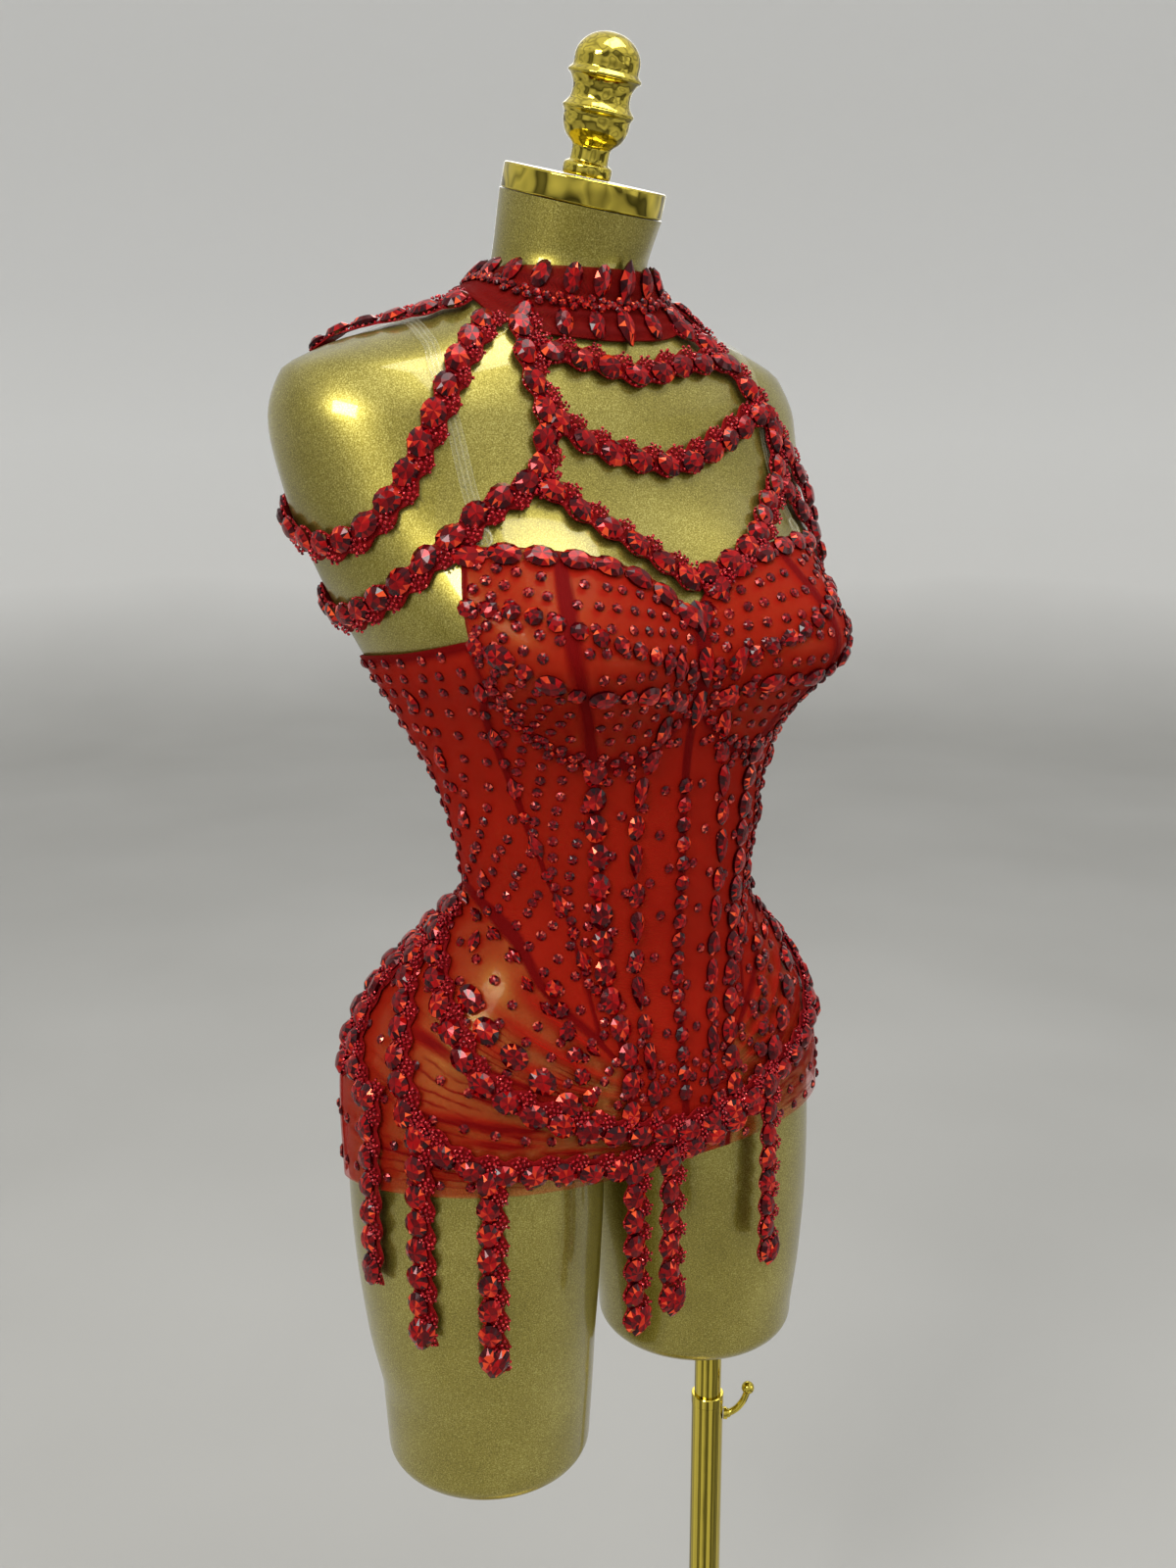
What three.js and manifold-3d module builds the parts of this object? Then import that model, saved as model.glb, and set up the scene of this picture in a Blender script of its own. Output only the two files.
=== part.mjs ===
// Rhinestone bodysuit on a dress form. Sizes in millimetres, +Z up.
// The form's front faces -Y and its left side is +X. The origin is the centre of the base's underside.
import * as THREE from "three";
import Module from "manifold-3d";
import { mergeVertices } from "three/addons/utils/BufferGeometryUtils.js";

const wasm = await Module();
wasm.setup();

const degrees = Math.PI / 180;

// ---- The form's horizontal sections, from the neck down ----
// z height, half: half width, front and back: depths from the section's centre, x and y: that centre,
// power: 2 is an ellipse, more is squarer. The rows under the crotch serve the skirt only.
const bodySections = [
  { z: 1493, half: 55, front: 55, back: 55, x: -6, y: 17, power: 2 },
  { z: 1455, half: 54, front: 54, back: 54, x: -10, y: 26, power: 2 },
  { z: 1440, half: 64, front: 57, back: 58, x: -12, y: 31, power: 2 },
  { z: 1425, half: 92, front: 61, back: 64, x: -15, y: 36, power: 2 },
  { z: 1411, half: 122, front: 67, back: 71, x: -17, y: 39, power: 2.05 },
  { z: 1398, half: 163, front: 75, back: 77, x: -17, y: 41, power: 2.15 },
  { z: 1380, half: 195, front: 85, back: 83, x: -18, y: 42, power: 2.3 },
  { z: 1350, half: 204, front: 97, back: 88, x: -18, y: 41, power: 2.4 },
  { z: 1305, half: 199, front: 107, back: 92, x: -16, y: 35, power: 2.4 },
  { z: 1255, half: 189, front: 116, back: 93, x: -11, y: 24, power: 2.3 },
  { z: 1205, half: 172, front: 118, back: 91, x: -6, y: 13, power: 2.2 },
  { z: 1150, half: 146, front: 106, back: 87, x: -3, y: 4, power: 2.1 },
  { z: 1100, half: 125, front: 94, back: 82, x: 0, y: -2, power: 2 },
  { z: 1060, half: 115, front: 88, back: 79, x: 0, y: -7, power: 2 },
  { z: 1028, half: 109, front: 88, back: 80, x: 0, y: -6, power: 2 },
  { z: 995, half: 126, front: 96, back: 100, x: 0, y: 5, power: 2 },
  { z: 957, half: 158, front: 106, back: 128, x: 0, y: 14, power: 2.05 },
  { z: 920, half: 181, front: 112, back: 149, x: 0, y: 14, power: 2.1 },
  { z: 890, half: 191, front: 114, back: 154, x: 0, y: 12, power: 2.15 },
  { z: 860, half: 193, front: 114, back: 151, x: 0, y: 10, power: 2.2 },
  { z: 825, half: 192, front: 112, back: 142, x: 0, y: 10, power: 2.3 },
  { z: 775, half: 190, front: 108, back: 132, x: 0, y: 10, power: 2.4 },
];

// A table's column at a height, along a smooth curve that never overshoots its rows.
function smoothColumn(rows, key, column, at) {
  const up = rows[0][key] < rows[rows.length - 1][key] ? rows : [...rows].reverse();
  const last = up.length - 1;
  const x = Math.min(Math.max(at, up[0][key]), up[last][key]);
  let i = 0;
  while (i < last - 1 && x > up[i + 1][key]) i++;
  const slope = (j) => (up[j + 1][column] - up[j][column]) / (up[j + 1][key] - up[j][key]);
  const tangent = (j) => {
    if (j === 0) return slope(0);
    if (j === last) return slope(last - 1);
    const [a, b] = [slope(j - 1), slope(j)];
    return a * b <= 0 ? 0 : (2 * a * b) / (a + b);
  };
  const step = up[i + 1][key] - up[i][key];
  const t = (x - up[i][key]) / step;
  const [t2, t3] = [t * t, t * t * t];
  return (
    (2 * t3 - 3 * t2 + 1) * up[i][column] +
    (t3 - 2 * t2 + t) * step * tangent(i) +
    (3 * t2 - 2 * t3) * up[i + 1][column] +
    (t3 - t2) * step * tangent(i + 1)
  );
}

// The form's bust: one rounded mound on each side, fuller below than above.
const bust = { angle: 35, z: 1203, spread: 27, above: 62, below: 47, out: 48 };

function turned(angle) {
  return ((((angle + 180) % 360) + 360) % 360) - 180;
}

// The radius of the body's section at an angle, 0 at the front and 90 at its left side.
function bodyRadius(angle, z) {
  const row = (column) => smoothColumn(bodySections, "z", column, z);
  const [s, c] = [Math.sin(angle * degrees), Math.cos(angle * degrees)];
  const depth = c > 0 ? row("front") : row("back");
  const power = row("power");
  const round = Math.pow(
    Math.pow(Math.abs(s) / row("half"), power) + Math.pow(Math.abs(c) / depth, power),
    -1 / power,
  );
  const rise = z - bust.z;
  const high = rise / (rise > 0 ? bust.above : bust.below);
  const mound = (side) => {
    const across = (turned(angle) - side * bust.angle) / bust.spread;
    return bust.out * Math.exp(-across * across - high * high);
  };
  return round + mound(1) + mound(-1);
}

// A point of the body's surface, moved out by a distance along the surface's normal.
function onBody(angle, z, out = 0) {
  const here = skinPoint(angle, z);
  if (!out) return here;
  const along = skinPoint(angle + 1, z).sub(skinPoint(angle - 1, z));
  const above = skinPoint(angle, z + 3).sub(skinPoint(angle, z - 3));
  return here.addScaledVector(along.cross(above).normalize(), out);
}

function skinPoint(angle, z) {
  const r = bodyRadius(angle, z);
  return new THREE.Vector3(
    smoothColumn(bodySections, "z", "x", z) + r * Math.sin(angle * degrees),
    smoothColumn(bodySections, "z", "y", z) - r * Math.cos(angle * degrees),
    z,
  );
}

// ---- Shared mesh helpers ----
function meshOf(points, triangles) {
  const geometry = new THREE.BufferGeometry();
  const places = points.flatMap((p) => [p.x, p.y, p.z]);
  geometry.setAttribute("position", new THREE.Float32BufferAttribute(places, 3));
  geometry.setIndex(triangles);
  return geometry;
}

// A closed body through rings of points, each ring running the same way round, with both ends capped.
function loft(rings) {
  const count = rings[0].length;
  const points = rings.flat();
  const triangles = [];
  for (let i = 0; i < rings.length - 1; i++)
    for (let j = 0; j < count; j++) {
      const [a, b] = [i * count + j, i * count + ((j + 1) % count)];
      triangles.push(a, b, b + count, a, b + count, a + count);
    }
  const cap = (first, flip) => {
    const centre = points.length;
    const middle = new THREE.Vector3();
    for (let j = 0; j < count; j++) middle.addScaledVector(points[first + j], 1 / count);
    points.push(middle);
    for (let j = 0; j < count; j++) {
      const [a, b] = [first + j, first + ((j + 1) % count)];
      triangles.push(centre, flip ? b : a, flip ? a : b);
    }
  };
  cap(0, true);
  cap((rings.length - 1) * count, false);
  return meshOf(points, triangles);
}

const group = new THREE.Group();

function add(name, geometry, colour, roughness, metalness) {
  const material = new THREE.MeshStandardMaterial({ color: colour, roughness, metalness });
  const mesh = new THREE.Mesh(geometry, material);
  mesh.name = name;
  group.add(mesh);
  return mesh;
}

function solidOf(geometry) {
  const joined = mergeVertices(geometry.clone().deleteAttribute("normal"), 1e-4);
  return new wasm.Manifold(
    new wasm.Mesh({
      numProp: 3,
      vertProperties: new Float32Array(joined.attributes.position.array),
      triVerts: new Uint32Array(joined.index.array),
    }),
  );
}

function geometryOf(solid) {
  const mesh = solid.getMesh();
  const geometry = new THREE.BufferGeometry();
  geometry.setAttribute("position", new THREE.BufferAttribute(new Float32Array(mesh.vertProperties), 3));
  geometry.setIndex(Array.from(mesh.triVerts));
  return geometry;
}

const even = (count) => Array.from({ length: count + 1 }, (_, i) => i / count);

function joined(solids) {
  return solids.reduce((all, one) => all.add(one));
}

// The straight distance between two [angle, z] points of the body.
const gap = (a, b) => onBody(...a).distanceTo(onBody(...b));

// A smooth curve through [angle, z] points on the body: fine points along it and the length run at each.
function traced(points) {
  const at = (i) => points[Math.min(Math.max(i, 0), points.length - 1)];
  const fine = [];
  for (let i = 0; i < points.length - 1; i++)
    for (let k = 0; k < 16; k++) fine.push(catmull(at(i - 1), at(i), at(i + 1), at(i + 2), k / 16));
  fine.push(at(points.length - 1));
  const run = [0];
  for (let i = 1; i < fine.length; i++) run.push(run[i - 1] + gap(fine[i], fine[i - 1]));
  return { fine, run };
}

function alongTrace(fine, run, want) {
  let i = 0;
  while (i < run.length - 2 && run[i + 1] < want) i++;
  const t = (want - run[i]) / (run[i + 1] - run[i]);
  return [0, 1].map((c) => fine[i][c] + (fine[i + 1][c] - fine[i][c]) * t);
}

// The same curve cut into equal steps, as stations with a point, its outward way and the way across.
function bodyPath(points, step) {
  const { fine, run } = traced(points);
  const length = run[run.length - 1];
  const count = Math.max(2, Math.round(length / step));
  const stations = even(count).map((t) => alongTrace(fine, run, t * length));
  return framed(
    stations.map(([angle, z]) => onBody(angle, z)),
    stations.map(([angle, z]) => onBody(angle, z, 1).sub(onBody(angle, z))),
  );
}

function catmull(p, a, b, q, t) {
  return [0, 1].map(
    (c) =>
      0.5 *
      (2 * a[c] + (b[c] - p[c]) * t + (2 * p[c] - 5 * a[c] + 4 * b[c] - q[c]) * t * t +
        (3 * a[c] - p[c] - 3 * b[c] + q[c]) * t * t * t),
  );
}

function framed(points, normals) {
  return points.map((point, i) => {
    const ahead = points[Math.min(i + 1, points.length - 1)];
    const behind = points[Math.max(i - 1, 0)];
    const along = ahead.clone().sub(behind).normalize();
    const across = normals[i].clone().cross(along).normalize();
    const out = along.clone().cross(across).normalize();
    return { point, across, out };
  });
}

// A body swept along stations: profile(i) lists its corners as [across, out] distances.
function sweep(stations, profile) {
  return loft(
    stations.map(({ point, across, out }, i) =>
      profile(i).map(([a, o]) => point.clone().addScaledVector(across, a).addScaledVector(out, o)),
    ),
  );
}

const mirrored = (points) => points.map(([angle, z]) => [-angle, z]);

// ---- Form: torso, thighs, neck cap and finial ----
const gold = 0xa8923c;
const formSides = 40;
const crotch = 862;
const neck = { z: 1493, x: -6, y: 17, tilt: 15, towards: 16 };
const neckWay = new THREE.Vector3(Math.sin(neck.towards * degrees), -Math.cos(neck.towards * degrees), 0);
const formLevels = [
  crotch, 890, 920, 945, 965, 982, 1000, 1020, 1042, 1070, 1098, 1120, 1140, 1160, 1180, 1203, 1224, 1246,
  1268, 1300, 1340, 1375, 1398, 1411, 1425, 1440, 1455, neck.z,
];
const torsoRings = formLevels.map((z) =>
  Array.from({ length: formSides }, (_, j) => {
    const p = onBody((j * 360) / formSides, z);
    const ahead = (p.x - neck.x) * neckWay.x + (p.y - neck.y) * neckWay.y;
    if (z === neck.z) p.z -= ahead * Math.tan(neck.tilt * degrees);
    return p;
  }),
);

// z height, x and y: the centre, rx and ry: half sizes of a thigh's section.
const thighSections = [
  { z: 880, x: 95, y: 14, rx: 78, ry: 88 },
  { z: 850, x: 99, y: 15, rx: 90, ry: 99 },
  { z: 800, x: 99, y: 13, rx: 92, ry: 97 },
  { z: 750, x: 100, y: 9, rx: 90, ry: 91 },
  { z: 700, x: 100, y: 6, rx: 85, ry: 86 },
  { z: 655, x: 98, y: 2, rx: 79, ry: 79 },
];
const thighLean = -3;
const thighEnd = { right: 590, left: 632 };
const thighRound = 13;
const thighSides = 24;

function thigh(side, end) {
  const ring = (z, inset) => {
    const at = (column) => smoothColumn(thighSections, "z", column, z);
    const less = Math.max(0, 655 - z) * 0.06 + inset;
    return Array.from({ length: thighSides }, (_, j) => {
      const a = (j * 2 * Math.PI) / thighSides;
      return new THREE.Vector3(
        thighLean + side * at("x") + (at("rx") - less) * Math.sin(a),
        at("y") - (at("ry") - less) * Math.cos(a),
        z,
      );
    });
  };
  const corner = [[0, 1], [0.3, 0.3], [1, 0]];
  const rings = corner.map(([up, inset]) => ring(end + up * thighRound, inset * thighRound));
  for (const { z } of [...thighSections].reverse()) if (z > end + thighRound + 5) rings.push(ring(z, 0));
  return loft(rings);
}

// ---- Stand: round base, outer tube with its lock lever, inner tube ----
const pole = {
  x: 100, y: -12, inner: 11, outer: 13, bore: 11.1, top: 564, lowest: 300, socket: 740, sides: 20,
};
const base = { radius: 190, height: 10, edge: 3, sides: 40, footRadius: 32, footHeight: 22 };
const lever = { drop: 20, bearing: 56, boss: 5, armRadius: 2.8, ball: 5.3 };

// A turned body about the vertical: profile lists [radius, z] from its bottom to its top.
function turnedBody(profile, sides, x, y) {
  const ring = ([r, z]) =>
    Array.from({ length: sides }, (_, j) => {
      const a = (j * 2 * Math.PI) / sides;
      return new THREE.Vector3(x + r * Math.sin(a), y - r * Math.cos(a), z);
    });
  return loft(profile.map(ring));
}

const poleBody = (radius, from, to) => turnedBody([[radius, from], [radius, to]], pole.sides, pole.x, pole.y);

const formParts = [loft(torsoRings), thigh(-1, thighEnd.right), thigh(1, thighEnd.left)];
const formSolid = joined(formParts.map(solidOf)).subtract(
  solidOf(poleBody(pole.bore, thighEnd.left - 5, pole.socket + 1)),
);
add("form_body", geometryOf(formSolid), gold, 0.35, 0.8);

const neckFrame = new THREE.Matrix4()
  .makeRotationAxis(new THREE.Vector3(0, 0, 1).cross(neckWay).normalize(), neck.tilt * degrees)
  .setPosition(neck.x, neck.y, neck.z);
const chrome = 0xc8b040;
const capHeight = 17;
const neckCap = turnedBody([[54, 0.2], [55.5, 1.2], [55.5, capHeight - 1.5], [54, capHeight]], 32, 0, 0);
add("neck_cap", neckCap.applyMatrix4(neckFrame), chrome, 0.15, 1);

// The finial's turned outline: [radius, height above the cap].
const finialOutline = [
  [15.5, 0.2], [16.5, 3], [16.5, 7], [13.5, 10], [13, 20], [18.5, 26], [22, 34], [22.3, 40], [24, 44.5],
  [19.5, 57], [24.6, 68], [21.8, 72], [21.8, 79], [18.5, 88], [10.5, 94.5], [3.5, 96.5],
];
const finialSquash = 0.93;
const finial = turnedBody(finialOutline.map(([r, h]) => [r, h * finialSquash + capHeight]), 16, 0, 0);
add("finial", finial.applyMatrix4(neckFrame), chrome, 0.12, 1);

add("pole_inner", poleBody(pole.inner, pole.lowest, pole.socket), chrome, 0.2, 1);

const poleOuter = solidOf(poleBody(pole.outer, base.height + 0.2, pole.top)).subtract(
  solidOf(poleBody(pole.bore, base.height + 10, pole.top + 5)),
);
add("pole_outer", geometryOf(poleOuter), chrome, 0.2, 1);

const basePlate = turnedBody(
  [
    [base.radius - base.edge, 0], [base.radius, base.edge], [base.radius, base.height - base.edge],
    [base.radius - base.edge, base.height],
  ],
  base.sides, 0, 0,
);
add("base_plate", basePlate, chrome, 0.25, 1);

const flangeSolid = solidOf(
  turnedBody(
    [
      [base.footRadius, base.height + 0.2], [base.footRadius, base.height + 5],
      [pole.outer + 4, base.height + 9], [pole.outer + 4, base.height + base.footHeight],
    ],
    pole.sides, pole.x, pole.y,
  ),
).subtract(solidOf(poleBody(pole.outer + 0.1, base.height - 1, base.height + base.footHeight + 1)));
add("pole_flange", geometryOf(flangeSolid), chrome, 0.25, 1);

// The lever leaves the outer tube level, bends up and ends in a ball: [out from the tube's axis, up].
const leverSpine = [[0.5, 0], [5, 0.5], [12, 5], [18, 14], [20, 20]];
const leverWay = new THREE.Vector3(Math.sin(lever.bearing * degrees), -Math.cos(lever.bearing * degrees), 0);
const leverAt = ([out, up]) =>
  new THREE.Vector3(pole.x, pole.y, pole.top - lever.drop + up).addScaledVector(leverWay, pole.outer + out);
const leverAcross = new THREE.Vector3().crossVectors(new THREE.Vector3(0, 0, 1), leverWay);
const leverStations = framed(leverSpine.map(leverAt), leverSpine.map(() => leverAcross.clone()));
const circle = (radius, sides) =>
  Array.from({ length: sides }, (_, j) => {
    const a = (j * 2 * Math.PI) / sides;
    return [radius * Math.cos(a), radius * Math.sin(a)];
  });
const leverArm = solidOf(sweep(leverStations, (i) => circle(i === 0 ? lever.boss : lever.armRadius, 8)));
const ball = new THREE.IcosahedronGeometry(lever.ball, 1).deleteAttribute("uv");
ball.translate(...leverAt([20.5, 23.6]).toArray());
add("lock_lever", geometryOf(leverArm.add(solidOf(ball))), chrome, 0.2, 1);

// ---- Cloth: stretch-mesh panels cut and sewn as a maker would ----
const red = 0x9c1a12;
const cloth = { clear: 2.8, wall: 1.3, inset: 0.18 };
const clothOuter = cloth.clear + cloth.wall;

// Seams and edges of the right half: [angle, z] points on the body, and how the cells are spaced along them.
const foldRows = [0, 0.06, 0.12, 0.18, 0.24, 0.3, 0.36, 0.46, 0.57, 0.68, 0.79, 0.9, 1];
const seams = {
  cupTopOuter: { cells: even(5), way: [[-55.3, 1271], [-46, 1271], [-35.5, 1268]] },
  cupTopInner: { cells: even(6), way: [[-35.5, 1268], [-25, 1263], [-12, 1250], [-4, 1235], [0, 1228]] },
  cupEdge: { cells: even(6), way: [[-55.5, 1217], [-55.8, 1240], [-55.3, 1271]] },
  cupWing: { cells: even(2), way: [[-54.3, 1190], [-55, 1203], [-55.5, 1217]] },
  cupFootOuter: { cells: even(5), way: [[-54.3, 1190], [-52.5, 1168], [-47, 1145], [-36, 1131]] },
  cupFootInner: { cells: even(6), way: [[-36, 1131], [-21, 1134], [-9, 1150], [-3, 1161], [0, 1164]] },
  cupSeam: { cells: even(8), way: [[-36, 1131], [-35.5, 1200], [-35.5, 1268]] },
  gore: { cells: even(8), way: [[0, 1164], [0, 1228]] },
  wingSide: { cells: even(7), way: [[-106, 1194], [-75, 1205], [-55.5, 1217]] },
  wingBack: { cells: even(6), way: [[-180, 1188], [-140, 1190], [-106, 1194]] },
  sideBack: { cells: even(11), way: [[-108, 1035], [-106, 1120], [-106, 1194]] },
  centreBack: { cells: even(11), way: [[-180, 1028], [-180, 1188]] },
  side: {
    cells: even(9),
    way: [[-31, 938], [-36, 975], [-44, 1007], [-56, 1048], [-62, 1102], [-60, 1160], [-54.3, 1190]],
  },
  princess: {
    cells: even(9),
    way: [[-22.5, 917], [-30, 978], [-36, 1020], [-38, 1048], [-38, 1095], [-36, 1131]],
  },
  waistBack: { cells: even(6), way: [[-180, 1028], [-150, 1030], [-108, 1035]] },
  hipLine: { cells: even(7), way: [[-108, 1035], [-94, 1032], [-66, 1007], [-50, 975], [-31, 938]] },
  hipPoint: { cells: even(5), way: [[-31, 938], [-22.5, 917]] },
  hipFront: { cells: foldRows, way: [[-22.5, 917], [-21, 890], [-20, 840]] },
  hipBack: { cells: foldRows, way: [[-108, 1035], [-114, 980], [-115, 900], [-112, 804]] },
  seat: { cells: foldRows, way: [[-180, 1028], [-180, 788]] },
  centreLow: { cells: foldRows, way: [[0, 917], [0, 841]] },
  centreHigh: { cells: even(9), way: [[0, 917], [0, 1164]] },
  hemFront: { cells: even(6), way: [[-20, 840], [0, 841]] },
  hemSide: { cells: even(12), way: [[-112, 804], [-93, 824], [-74, 837], [-45, 839], [-20, 840]] },
  hemBack: { cells: even(6), way: [[-180, 788], [-140, 792], [-112, 804]] },
};

// The seam's points in [angle, z], spaced by length along the body.
function seamPoints(name, reversed = false) {
  const { way, cells } = seams[name];
  const { fine, run } = traced(way);
  const points = cells.map((t) => alongTrace(fine, run, t * run[run.length - 1]));
  return reversed ? points.reverse() : points;
}

function chain(...names) {
  return names.flatMap((name, i) => {
    const reversed = name.startsWith("-");
    const points = seamPoints(reversed ? name.slice(1) : name, reversed);
    return i ? points.slice(1) : points;
  });
}

// A panel between four chains that meet at its corners: foot and head run forward, rear and fore run up.
function panelGrid(foot, head, rear, fore) {
  const [columns, rows] = [foot.length - 1, rear.length - 1];
  const share = (side) => {
    const run = [0];
    for (let i = 1; i < side.length; i++) run.push(run[i - 1] + gap(side[i], side[i - 1]));
    return run.map((r) => r / run[run.length - 1]);
  };
  const [footShare, headShare, rearShare, foreShare] = [foot, head, rear, fore].map(share);
  return Array.from({ length: rows + 1 }, (_, i) =>
    Array.from({ length: columns + 1 }, (_, j) => {
      const u0 = footShare[j] + (headShare[j] - footShare[j]) * (i / rows);
      const v = rearShare[i] + (foreShare[i] - rearShare[i]) * u0;
      const u = footShare[j] + (headShare[j] - footShare[j]) * v;
      return [0, 1].map(
        (c) =>
          foot[j][c] * (1 - v) + head[j][c] * v + rear[i][c] * (1 - u) + fore[i][c] * u -
          (foot[0][c] * (1 - u) * (1 - v) + foot[columns][c] * u * (1 - v) +
            head[0][c] * (1 - u) * v + head[columns][c] * u * v),
      );
    }),
  );
}

// A closed wall over a grid of [angle, z] points; raise(i, j) lifts it off the body.
function panelWall(grid, raise = () => 0, mirror = 1, grow = 0) {
  const [rows, columns] = [grid.length, grid[0].length];
  const surface = (out) => {
    const raw = grid.map((row, i) =>
      row.map(([angle, z], j) => onBody(mirror * angle, z, out + raise(i, j))),
    );
    return raw.map((row, i) =>
      row.map((point, j) => {
        const moved = point.clone();
        const towards = (other) =>
          moved.addScaledVector(other.clone().sub(point).normalize(), cloth.inset - grow);
        if (i === 0) towards(raw[1][j]);
        if (i === rows - 1) towards(raw[rows - 2][j]);
        if (j === 0) towards(raw[i][1]);
        if (j === columns - 1) towards(raw[i][columns - 2]);
        return moved;
      }),
    );
  };
  const points = [...surface(clothOuter + grow).flat(), ...surface(cloth.clear - grow).flat()];
  const triangles = [];
  const at = (side, i, j) => (side * rows + i) * columns + j;
  const quad = (a, b, c, d) =>
    mirror > 0 ? triangles.push(a, b, c, a, c, d) : triangles.push(a, c, b, a, d, c);
  for (let i = 0; i < rows - 1; i++)
    for (let j = 0; j < columns - 1; j++) {
      quad(at(0, i, j), at(0, i, j + 1), at(0, i + 1, j + 1), at(0, i + 1, j));
      quad(at(1, i, j), at(1, i + 1, j), at(1, i + 1, j + 1), at(1, i, j + 1));
    }
  for (let j = 0; j < columns - 1; j++) {
    quad(at(0, 0, j), at(1, 0, j), at(1, 0, j + 1), at(0, 0, j + 1));
    quad(at(0, rows - 1, j), at(0, rows - 1, j + 1), at(1, rows - 1, j + 1), at(1, rows - 1, j));
  }
  for (let i = 0; i < rows - 1; i++) {
    quad(at(0, i, 0), at(0, i + 1, 0), at(1, i + 1, 0), at(1, i, 0));
    quad(at(0, i, columns - 1), at(1, i, columns - 1), at(1, i + 1, columns - 1), at(0, i + 1, columns - 1));
  }
  return meshOf(points, triangles);
}

// The hip panels' three drape folds lie along the rows under the hip line and fade at both ends.
const fold = { height: 3.6, rows: [1, 3, 5], fade: [0, 0, 0, 0, 0, 0.7, 1, 1, 0.85, 0.6, 0.4, 0.2, 0] };
const hipRows = foldRows.length - 1;
const hipFold = (i, j) => (fold.rows.includes(hipRows - i) ? fold.height * fold.fade[j] : 0);

// Each panel: foot and head from back to front, rear and fore from foot to head.
const panels = {
  cup_outer: { sides: [["cupFootOuter"], ["cupTopOuter"], ["cupWing", "cupEdge"], ["cupSeam"]] },
  cup_inner: { sides: [["cupFootInner"], ["cupTopInner"], ["cupSeam"], ["gore"]] },
  front: { sides: [["hemFront"], ["cupFootInner"], ["-hipFront", "princess"], ["-centreLow", "centreHigh"]] },
  side_front: { sides: [["hipPoint"], ["cupFootOuter"], ["side"], ["princess"]] },
  side: { sides: [["hipLine"], ["wingSide"], ["sideBack"], ["side", "cupWing"]] },
  back: { sides: [["waistBack"], ["wingBack"], ["centreBack"], ["sideBack"]] },
  hip: { sides: [["hemSide"], ["hipLine", "hipPoint"], ["-hipBack"], ["-hipFront"]], raise: hipFold },
  hip_back: { sides: [["hemBack"], ["waistBack"], ["-seat"], ["-hipBack"]] },
};
// The cups again, a little larger all round: what lies over them is cut to leave them this room.
const room = 0.3;
const clothRooms = [];
for (const [mirror, word] of [[1, "right"], [-1, "left"]])
  for (const [name, { sides, raise }] of Object.entries(panels)) {
    const grid = panelGrid(...sides.map((names) => chain(...names)));
    add(`${name}_${word}`, panelWall(grid, raise, mirror), red, 0.75, 0);
    if (name.startsWith("cup")) clothRooms.push(solidOf(panelWall(grid, raise, mirror, room)));
  }

// ---- Collar ----
const collar = { top: 1447, columns: 32, rows: 3, wall: 1.4, clear: 2, fold: 1.2 };
const collarFoot = [
  { angle: 0, z: 1399 }, { angle: 30, z: 1401 }, { angle: 52, z: 1410 }, { angle: 70, z: 1424 },
  { angle: 90, z: 1432 }, { angle: 125, z: 1430 }, { angle: 180, z: 1422 },
];
function collarSolid(grow) {
  const point = (i, j, out) => {
    const angle = turned((j * 360) / collar.columns);
    const foot = smoothColumn(collarFoot, "angle", "z", Math.abs(angle)) - grow;
    const t = i / collar.rows;
    return onBody(angle, foot + (collar.top + grow - foot) * t, out);
  };
  const levels = Array.from({ length: collar.rows + 1 }, (_, i) => i);
  const outer = levels.map((i) =>
    Array.from({ length: collar.columns }, (_, j) =>
      point(i, j, collar.clear + collar.wall + grow + (i % 2 ? collar.fold : 0)),
    ),
  );
  const inner = levels.map((i) =>
    Array.from({ length: collar.columns }, (_, j) => point(i, j, collar.clear - grow)),
  );
  return solidOf(shellOf(outer, inner));
}

// A closed wall between an outer and an inner set of rings that run the same way round.
function shellOf(outer, inner) {
  const [rows, columns] = [outer.length, outer[0].length];
  const points = [...outer.flat(), ...inner.flat()];
  const triangles = [];
  const at = (side, i, j) => (side * rows + i) * columns + (j % columns);
  const quad = (a, b, c, d) => triangles.push(a, b, c, a, c, d);
  for (let j = 0; j < columns; j++) {
    for (let i = 0; i < rows - 1; i++) {
      quad(at(0, i, j), at(0, i, j + 1), at(0, i + 1, j + 1), at(0, i + 1, j));
      quad(at(1, i, j), at(1, i + 1, j), at(1, i + 1, j + 1), at(1, i, j + 1));
    }
    const top = rows - 1;
    quad(at(0, 0, j), at(1, 0, j), at(1, 0, j + 1), at(0, 0, j + 1));
    quad(at(0, top, j), at(0, top, j + 1), at(1, top, j + 1), at(1, top, j));
  }
  return meshOf(points, triangles);
}

add("collar", geometryOf(collarSolid(0)), red, 0.7, 0);

// ---- Clear elastic straps, each ending in a flat hook at the cup ----
const clear = { out: 1.3, thick: 1, width: 10, hookWidth: 12, hookThick: 1 };
const clearLine = [
  [-50.5, 1273], [-53, 1306], [-56, 1348], [-62, 1384], [-69, 1400], [-79, 1409], [-90, 1413], [-102, 1409],
  [-113, 1398], [-121, 1380], [-128, 1350], [-133, 1305], [-137, 1255], [-139, 1205], [-139, 1190.8],
];
const clearProfile = (i) => {
  const [w, t] = i < 2 ? [clear.hookWidth, clear.hookThick] : [clear.width, clear.thick];
  return [[-w / 2, clear.out], [w / 2, clear.out], [w / 2, clear.out + t], [-w / 2, clear.out + t]];
};
for (const [line, word] of [[clearLine, "right"], [mirrored(clearLine), "left"]])
  add(`clear_strap_${word}`, sweep(bodyPath(line, 14), clearProfile), 0xd8d8d0, 0.2, 0);

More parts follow.
